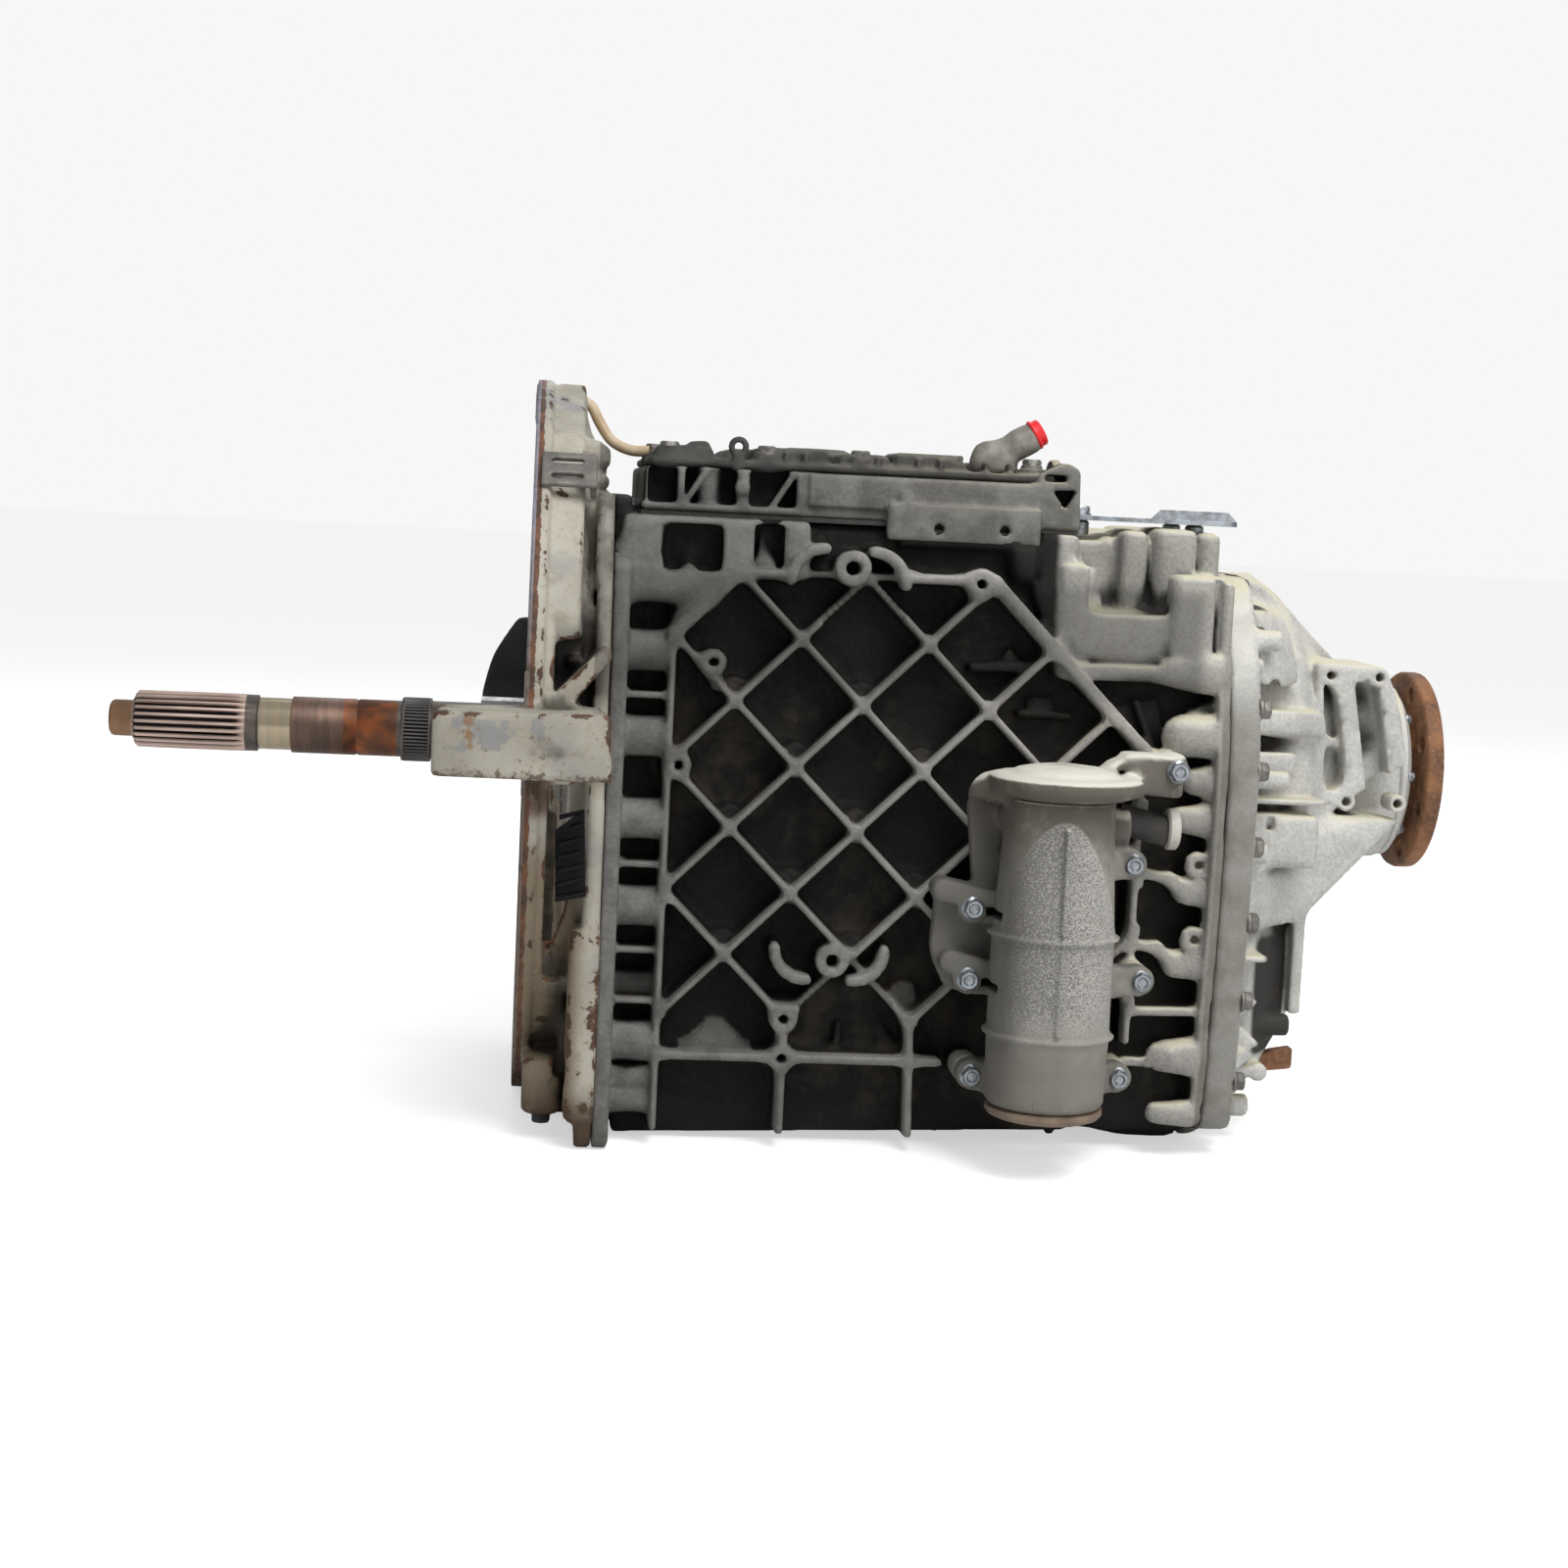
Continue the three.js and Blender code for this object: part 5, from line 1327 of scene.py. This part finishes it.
def filter_body():
    body = Casting([(324, 548, 1.7)], [(-372, -244, 1.7)], [(-264, 44, 1.7)])
    add, cut = body.add, body.cut
    centre = (FILTER_X, FILTER_Y)
    add(turned("z", centre, [(FILTER_BOTTOM, 0), (FILTER_BOTTOM, 44), (-252, 48), (-200, 49.5), (-120, 49.5),
                             (-40, 45), (-8, 44), (-8, 0)]))
    add(turned("z", (FILTER_X + 4, FILTER_Y), [(-6, 0), (-6, 46), (-2, 58), (2, 61), (9, 61), (12, 56),
                                               (12, 0)]))
    add(turned("z", (FILTER_X + 2, FILTER_Y), [(6, 0), (6, 44), (16, 40), (20, 24), (20, 0)]), 6)
    for z in (-117, -197):
        add(turned("z", centre, [(z - 2.4, 30), (z - 1.4, 53.4), (z + 1.4, 53.4), (z + 2.4, 30)]), 1.5)
    for z0, z1 in ((-112, -26), (-192, -122)):
        add(block((FILTER_X - 3.8, FILTER_X), (FILTER_Y - 53, FILTER_Y - 40), (z0, z1), 0.8), 1.5)
    for x, z in FILTER_EARS:
        root = FILTER_X + (36 if x > FILTER_X else -36)
        add(rod("y", (x, z), 12, EAR_FACE, PAD_FACE - 0.3))
        if z < -200 or (x > FILTER_X and z < -40):
            add(hull([(x, EAR_FACE, z + 11), (x, EAR_FACE, z - 11), (x, PAD_FACE - 1, z + 11),
                      (x, PAD_FACE - 1, z - 11), (root, -300, z + 15), (root, -300, z - 15),
                      (root, -262, z + 15), (root, -262, z - 15)], 4), 5)

    # Left side: a web that carries two forked ears.
    web = convex([(338, -92), (392, -84), (392, -170), (350, -170), (335, -140)], 6)
    add(prism("y", web, -274, PAD_FACE - 0.3, 3), 4)
    add(prism("y", convex([(360, -14), (392, -14), (392, -92), (368, -88)], 6), -272, PAD_FACE - 0.3, 3), 4)
    for (x, z), reach in (((366, -100), 24), ((365, -158), 14)):
        add(rod("y", (x, z), 12.5, FORK_FACE, PAD_FACE - 0.3))
        add(prism("y", bar((x - reach, z + 13), (394, z + 4), 19, 15), -290, PAD_FACE - 0.3, 4), 4)
        add(prism("y", bar((x, z - 10), (394, z - 10), 7), -286, PAD_FACE - 0.3))
        cut(prism("y", rect((x + 11, x + 34), (z - 6, z + 1), 1.5), -320, -263, 1), 0.8)

    # The top's side lugs, and the hump that feeds the pipe.
    add(hull([(357, -284, -12), (358, -284, 2), (372, -284, 12), (396, -318, 12), (392, -318, -12),
              (360, -262, -14), (374, -262, 10), (404, -262, 12), (400, -300, -16)], 5), 5)
    add(hull([(484, -290, 30), (534, -286, 28), (534, -286, -6), (488, -300, -2), (484, PAD_FACE, 30),
              (534, PAD_FACE, 28), (534, PAD_FACE, -6), (488, PAD_FACE, -2)], 6), 8)
    add(hull([(462, -300, 10), (474, -292, 24), (500, -286, 26), (462, -262, 10), (474, -262, 24),
              (500, -262, 26)], 5), 8)
    add(rod("x", (-268, -32), 15, 462, 494, 3), 8)
    add(rod("y", (397, -24), 13, -296, PAD_FACE - 1), 5)
    bowl = turned("z", centre, [(-262, 0), (-262, 41), (-20, 38), (-20, 0)])
    cut(bowl, 0)
    return body.piece("filter_body", FILTER, ["oil_filter_housing"], "dusty_aluminium", 0.1)


def filter_lid():
    lid = Shape()
    profile = [(-255.9, 42), (-257.5, 47.5), (-261, 47.5), (-264, 45), (-266, 40), (-266.5, 20), (-264, 17),
               (-264, 4)]
    lid.lathe("z", (FILTER_X, FILTER_Y), profile, 72)
    return lid.piece("filter_lid", LID, ["oil_filter_cap"], "brown_plastic")


# ---------------------------------------------------------------- shaft and drive flange
SPLINE_TEETH = 24


def input_shaft():
    shaft = Shape()

    def spline(station, radius, angle):
        if not -343 <= station <= -240:
            return radius
        wave = math.cos(SPLINE_TEETH * angle)
        root = 21.4 + max(0.0, station + 258) / 14 * 3.6
        tooth = min(1.0, max(0.0, 0.55 + wave * 1.7))
        return root + (radius - root) * tooth

    profile = [(-365, 0.5), (-365, 12.5), (-363.4, 15), (-361, 16), (-346, 16), (-344.5, 17.5),
               (-342.6, 18.5), (-342.4, 22.5), (-340, 25.1), (-300, 25.4), (-258, 25.4), (-254, 25.4),
               (-250, 25.3), (-246, 25.2), (-244, 25), (-236, 25), (-235, 23), (-206.6, 23), (-205.6, 25),
               (-150, 25), (-149.2, 24.3), (-147.8, 24.3), (-147, 25), (-109, 25)]
    shaft.lathe("x", (0, 0), profile, 288, radius_at=spline)

    def notched(station, radius, angle):
        if not -106.8 < station < -85.2:
            return radius
        return radius - 1.6 * max(0.0, min(1.0, 0.5 + 1.6 * math.cos(52 * angle)))

    collar = [(-109.5, 20), (-109.5, 27.6), (-108, 28.5), (-107, 28.5), (-106, 28.5), (-86, 28.5),
              (-85, 28.5), (-83.5, 28.3), (-83, 26), (50, 26), (50, 30), (76, 30), (76, 34), (134, 34),
              (134, 45), (172, 45), (172, 21), (125, 21), (125, 0.5)]
    shaft.lathe("x", (0, 0), collar, 416, radius_at=notched)
    return shaft.piece("input_shaft_splined", SHAFT, ["input_shaft"], "rusty_steel", "input", angle=50)


NUT_FLAT, NUT_BORE, NUT_WALL = 26.8, 20.9, -9      # half across flats, bore radius, where the bore begins
ROUND = 36                                         # segments of small round pieces


def drive_flange():
    flange = Casting([(772, 820, 1.2)], [(-94, 94, 1.7)], [(-94, 94, 1.7)])
    flange.add(turned("x", (0, 0), [(775, 20.8), (775, 59.5), (796, 59.5), (799, 66), (801, 88), (803, 90),
                                    (815, 90), (817, 88), (817, 62), (813, 56), (807, 50), (807, 20.8)]), 2)
    for i in range(8):
        angle = math.pi * (i + 0.5) / 4
        flange.cut(rod("x", (76 * math.cos(angle), 76 * math.sin(angle)), 7, 790, 830, 0), 0.6)
    flange.piece("drive_flange", RUST, ["output_flange"], "rusty_steel", 0.08, "output")
    nut = Shape()
    rings = []
    for x, grow in ((807.4, 0), (814, 0), (815.6, -2.2), (815.6, -10.2), (811, -10.2), (807.4, -10.2)):
        ring = []
        for i in range(ROUND):
            angle = 2 * math.pi * i / ROUND
            flat = NUT_FLAT / math.cos((angle + math.pi / 6) % (math.pi / 3) - math.pi / 6)
            r = NUT_BORE if grow < NUT_WALL else flat + grow
            ring.append((x, r * math.cos(angle), r * math.sin(angle)))
        rings.append(ring)
    nut.skin(rings, closed=True)
    return nut.piece("drive_nut", RUST, ["flange_nut"], "rusty_steel", "output", 0.5)


def bearing_ring():
    ring = Shape()
    ring.lathe("x", (0, 0), [(781.3, 61), (781.3, 77.5), (783, 79), (787, 79), (789, 75), (792, 72),
                             (793, 66), (791, 61)], 96,
               closed=True)
    return ring.piece("bearing_ring", RANGE_METAL, ["output_bearing_cover"], "dusty_aluminium")


# ---------------------------------------------------------------- brackets, pipes and small pieces
def far_bracket():
    bracket = Casting([(-54, 66, 2.5)], [(326, 360, 2)], [(-6, 94, 2.5)])
    bracket.add(hull([(-49, 331, 4), (-48, 331, 16), (-38, 331, 52), (-14, 331, 90), (-47, 354, 6),
                      (-46, 354, 16), (-36, 354, 50), (-12, 354, 86), (52, 331, 92), (52, 354, 86),
                      (60, 331, -2), (-42, 331, -3), (60, 354, 4), (-40, 354, 2)], 5))
    for z0, z1 in ((14, 38), (48, 72)):
        bracket.cut(block((-34, 46), (344, 380), (z0, z1), 6), 4)
    return bracket.piece("far_bracket", BLACK, ["far_mount_bracket"], "black_paint")


def slotted_strap():
    strap = Casting([(0, 56, 1.1)], [(-236, -184, 1.1)], [(206, 262, 1.1)])
    turn = math.radians(42)

    def swung(shape):
        def distance(x, y, z):
            return shape[2](x, y * math.cos(turn) + z * math.sin(turn),
                            z * math.cos(turn) - y * math.sin(turn))
        return [-10, -300, 150], [70, -100, 300], distance

    strap.add(swung(block((6, 51), (-20, 20), (314.8, 319), 1.5)), 0)
    strap.add(swung(block((46, 51), (-20, 20), (303, 318), 1.5)), 2)
    for y in (-9, 9):
        strap.cut(swung(block((14, 40), (y - 3, y + 3), (300, 330), 2.5)), 0.5)
    return strap.piece("slotted_strap", STRAP, ["slotted_bracket"], "zinc_steel", 0.06)


GRILLE_Y = -276


def grille():
    cover = Shape()
    cover.slab([(28, -52), (51, -34), (54, -100), (30, -105)], "y", GRILLE_Y + 4, GRILLE_Y + 9)
    for z in range(-98, -42, 11):
        cover.slab([(31, z), (50, z + 6), (50, z + 9), (31, z + 4)], "y", GRILLE_Y, GRILLE_Y + 5)
    for a, b in (((28, -52), (51, -34)), ((30, -105), (54, -100))):
        cover.slab([a, b, (b[0], b[1] - 4), (a[0], a[1] - 4)], "y", GRILLE_Y - 2, GRILLE_Y + 5)
    return cover.piece("grille", GUARD, ["inspection_cover"], "black_paint", bevel=0.6)


def breather():
    elbow = Casting([(352, 430, 1.5)], [(-196, -144, 1.5)], [(210, 304, 1.5)])
    elbow.add(rod("z", (389, -170), 13, 250.3, 262), 2)
    elbow.add(tube([(376, -170, 262), (394, -170, 270), (408, -170, 278)], 12.5, 11), 5)
    elbow.add(tube([(374, -170, 257), (376, -170, 265)], 12, 11), 5)
    elbow.add(tube([(402, -170, 275), (410, -170, 279.5)], 13, 13), 2)
    elbow.cut(hull([(424, -190, 270), (424, -150, 270), (410, -190, 296), (410, -150, 296), (440, -190, 280),
                    (440, -150, 280), (426, -190, 306), (426, -150, 306)], 0), 0)
    elbow.piece("elbow", ELBOW, ["breather_elbow"], "zinc_steel", 0.08)
    cap = Shape()
    direction = Vector((10, 0, 6)).normalized()
    middle = Vector((418, -170, 285))
    side = Vector((0, 1, 0))
    up = direction.cross(side)
    rings = []
    for s, r in ((-4.5, 5), (-4.5, 12.4), (-3, 13), (-1.5, 12.4), (-1, 11.5), (3, 11.5), (4.2, 10.4),
                 (4.5, 8), (3.4, 7)):
        rings.append([middle + direction * s + r * (side * math.cos(w) + up * math.sin(w))
                      for w in (2 * math.pi * i / ROUND for i in range(ROUND))])
    cap.skin(rings)
    return cap.piece("elbow_cap", RED, ["breather_cap"], "red_plastic")


AIR_LINE = ((41, -20, 297), (48, -20.5, 292), (55, -22, 279), (66, -26, 264), (82, -30, 256.5),
            (99.4, -34, 256))


def air_line():
    line = Shape()
    line.tube(AIR_LINE, 4.8)
    return line.piece("air_line_tube", NYLON, ["air_line"], "nylon", "housing")


def coolant_stub():
    hose = Shape()
    hose.tube([(484, -263, -24), (500, -263, -29), (527, -262, -35)], 12.6)
    hose.piece("coolant_hose", RUBBER, ["coolant_pipe"], "rubber")
    clip = Shape()
    clip.lathe("x", (-262, -33), [(526, 8), (526, 15), (527.5, 17), (534.5, 17), (536, 15), (536, 8)], 40,
               closed=True)
    return clip.piece("coolant_clip", CREAM_RING, [], "rubber")


def plates():
    lower = Shape()
    lower.slab(corners([(640, -262), (684, -257), (684, -238), (664, -241.5), (640, -253.5)], 3), "y", -130,
               -118)
    lower.piece("lower_plate", RUST, ["rear_lower_plate"], "rusty_steel", bevel=1)
    top = Shape()
    outline = [(452, -150), (600, -150), (600, -30), (556, -30), (556, -110), (452, -110)]
    top.slab(corners(outline, 9), "z", 215, 219)
    top.slab([(524, 219), (598, 219), (590, 227), (532, 227)], "y", -150, -147)
    for x, y in ((466, -130), (566, -130), (566, -44)):
        top.lathe("z", (x, y), [(202.4, 2), (202.4, 7.5), (204, 8), (213, 8), (215.2, 6), (215.2, 2)], 24)
        top.bolt((x, y, 219), (0, 0, 1), 15, 9.5, 8)
    top.piece("top_plate", ZINC, ["top_bracket_plate"], "zinc_steel", bevel=0.6)
    cap = Shape()
    cap.lathe("x", (-60, 237), [(450.5, 4), (450.5, 28), (452, 29), (457, 29), (460, 26), (465, 22),
                                (466.4, 19), (466.4, 8), (463, 6), (463, 1)], 48)
    cap.piece("cylinder_cover", COVER_METAL, ["range_cylinder_cover"], "cast_aluminium")


THICK_EARS = ((366, -100), (365, -158), (527, 17))
HIDDEN_EAR = (399, -24)


def bolts():
    groups = {
        "filter_bolts": ([(x, FORK_FACE + 1 if (x, z) in THICK_EARS else EAR_FACE, z)
                          for x, z in FILTER_EARS if (x, z) != HIDDEN_EAR], (0, -1, 0), (14, 9.5, 9)),
        "cover_bolts": ([(x, y, 256) for x, y in COVER_BOLTS], (0, 0, 1), (14, 9, 7)),
        "joint_bolts": ([(606, y, z) for y, z in joint_points(13, 78)], (1, 0, 0), (15, 10, 9)),
        "cap_bolts": ([(790.5, 70 * math.cos(a),
                        70 * math.sin(a)) for a in (math.pi * k / 4 for k in range(8))], (1, 0, 0),
                      (8, 5.5, 5)),
        "tower_bolts": ([(440, y, 220) for y in (-80, 0, 80, 160)], (0, 0, 1), (13, 9, 8)),
        "flange_bolts": ([(JOINT_FRONT + 14, y, z) for y,
                          z in ((246, 100), (246, -140), (246, -250), (150, 206),
                                (-60, 206))], (1, 0, 0),
                         (15, 9.5, 8)),
        "far_bolts": ([(x, 354, 43) for x in (-20, 50)], (0, 1, 0), (16, 11, 8)),
    }
    for name, (places, towards, (across, washer, head)) in groups.items():
        group = Shape()
        for place in places:
            group.bolt(place, towards, across, washer, head)
        dull = name in ("cover_bolts", "tower_bolts", "joint_bolts")
        group.piece(name, STRAP if dull else ZINC, [], "zinc_steel")
    dark = Shape()
    dark.bolt((397, -297, -24), (0, -1, 0), 15, 11, 9)
    dark.bolt((26, -214, -294), (0, 0, -1), 14, 10, 9)
    dark.piece("dark_bolts", BLACK, [], "black_paint")


for make in (main_case, bell_housing, range_case, shift_tower, shift_cover, filter_body, filter_lid,
             input_shaft, drive_flange, bearing_ring, far_bracket, slotted_strap, grille, breather, air_line,
             coolant_stub, plates,
             bolts):
    make()


# ---------------------------------------------------------------- floor, light, camera
FLOOR_SIZE, FLOOR_GLOW = 60, 0.55
WORLD_LIGHT, WORLD_SEEN = 0.42, 0.93      # how bright the world lights the part, and how bright it looks
LIGHT_TARGET = Vector((0, 0, 0.3))
# Name, place in metres, size and power.
LIGHTS = (("key", (0.75, -1.7, 2.8), 1.8, 86), ("fill", (1.8, -3.4, 1.0), 2.5, 24),
          ("rim", (0.6, 2.8, 2.8), 2.5, 35))


def studio():
    bpy.ops.mesh.primitive_grid_add(size=FLOOR_SIZE, x_subdivisions=4, y_subdivisions=4)
    floor = bpy.context.object
    floor.name = "studio_floor"
    n = Nodes("floor_paint")
    seen = n.tree.nodes.new("ShaderNodeLightPath").outputs["Is Camera Ray"]
    floor.data.materials.append(n.finish(n.mix(n.noise(3), (0.82, 0.82, 0.82), (0.8, 0.8, 0.8)), 0.9, 0.0))
    n.shader.inputs["Emission Color"].default_value = (1, 1, 1, 1)
    n.tree.links.new(n.times(seen, FLOOR_GLOW), n.shader.inputs["Emission Strength"])
    world = bpy.data.worlds.new("studio")
    bpy.context.scene.world = world
    world.use_nodes = True
    tree = world.node_tree
    path = tree.nodes.new("ShaderNodeLightPath")
    level = tree.nodes.new("ShaderNodeMapRange")
    level.inputs["To Min"].default_value = WORLD_LIGHT
    level.inputs["To Max"].default_value = WORLD_SEEN
    tree.links.new(path.outputs["Is Camera Ray"], level.inputs["Value"])
    tree.nodes["Background"].inputs["Color"].default_value = (1, 1, 1, 1)
    tree.links.new(level.outputs["Result"], tree.nodes["Background"].inputs["Strength"])
    for name, place, size, power in LIGHTS:
        lamp = bpy.data.lights.new(name, "AREA")
        lamp.size = size
        lamp.energy = power
        light = bpy.data.objects.new(name, lamp)
        bpy.context.scene.collection.objects.link(light)
        light.location = place
        light.rotation_euler = (LIGHT_TARGET - light.location).to_track_quat("-Z", "Y").to_euler()
    bpy.context.scene.view_settings.view_transform = "Standard"


CAMERA_PLACE = (10, -2426, 220)
CAMERA_YAW, CAMERA_PITCH, CAMERA_ROLL = 5.3, 6.0, 2.8
CAMERA_LENS, CAMERA_SENSOR = 62.1, 36


def camera():
    yaw, pitch, roll = (math.radians(v) for v in (CAMERA_YAW, CAMERA_PITCH, CAMERA_ROLL))
    ahead = Vector((math.sin(yaw) * math.cos(pitch), math.cos(yaw) * math.cos(pitch), -math.sin(pitch)))
    right = Vector((math.cos(yaw), -math.sin(yaw), 0))
    up = right.cross(ahead)
    right, up = math.cos(roll) * right + math.sin(roll) * up, math.cos(roll) * up - math.sin(roll) * right
    lens = bpy.data.cameras.new("camera")
    lens.lens = CAMERA_LENS
    lens.sensor_width = CAMERA_SENSOR
    eye = bpy.data.objects.new("camera", lens)
    bpy.context.scene.collection.objects.link(eye)
    turn = Matrix((right, up, -ahead)).transposed().to_4x4()
    eye.matrix_world = Matrix.Translation(Vector(row(CAMERA_PLACE))) @ turn
    bpy.context.scene.camera = eye


studio()
camera()

for part in frame["record"]["subparts"]:
    node = frame["nodes"][part["node"]]
    for holder in node.material_slots:
        holder.link = "OBJECT"
        holder.material = SLOT_MATERIAL[part["material_slot"]]
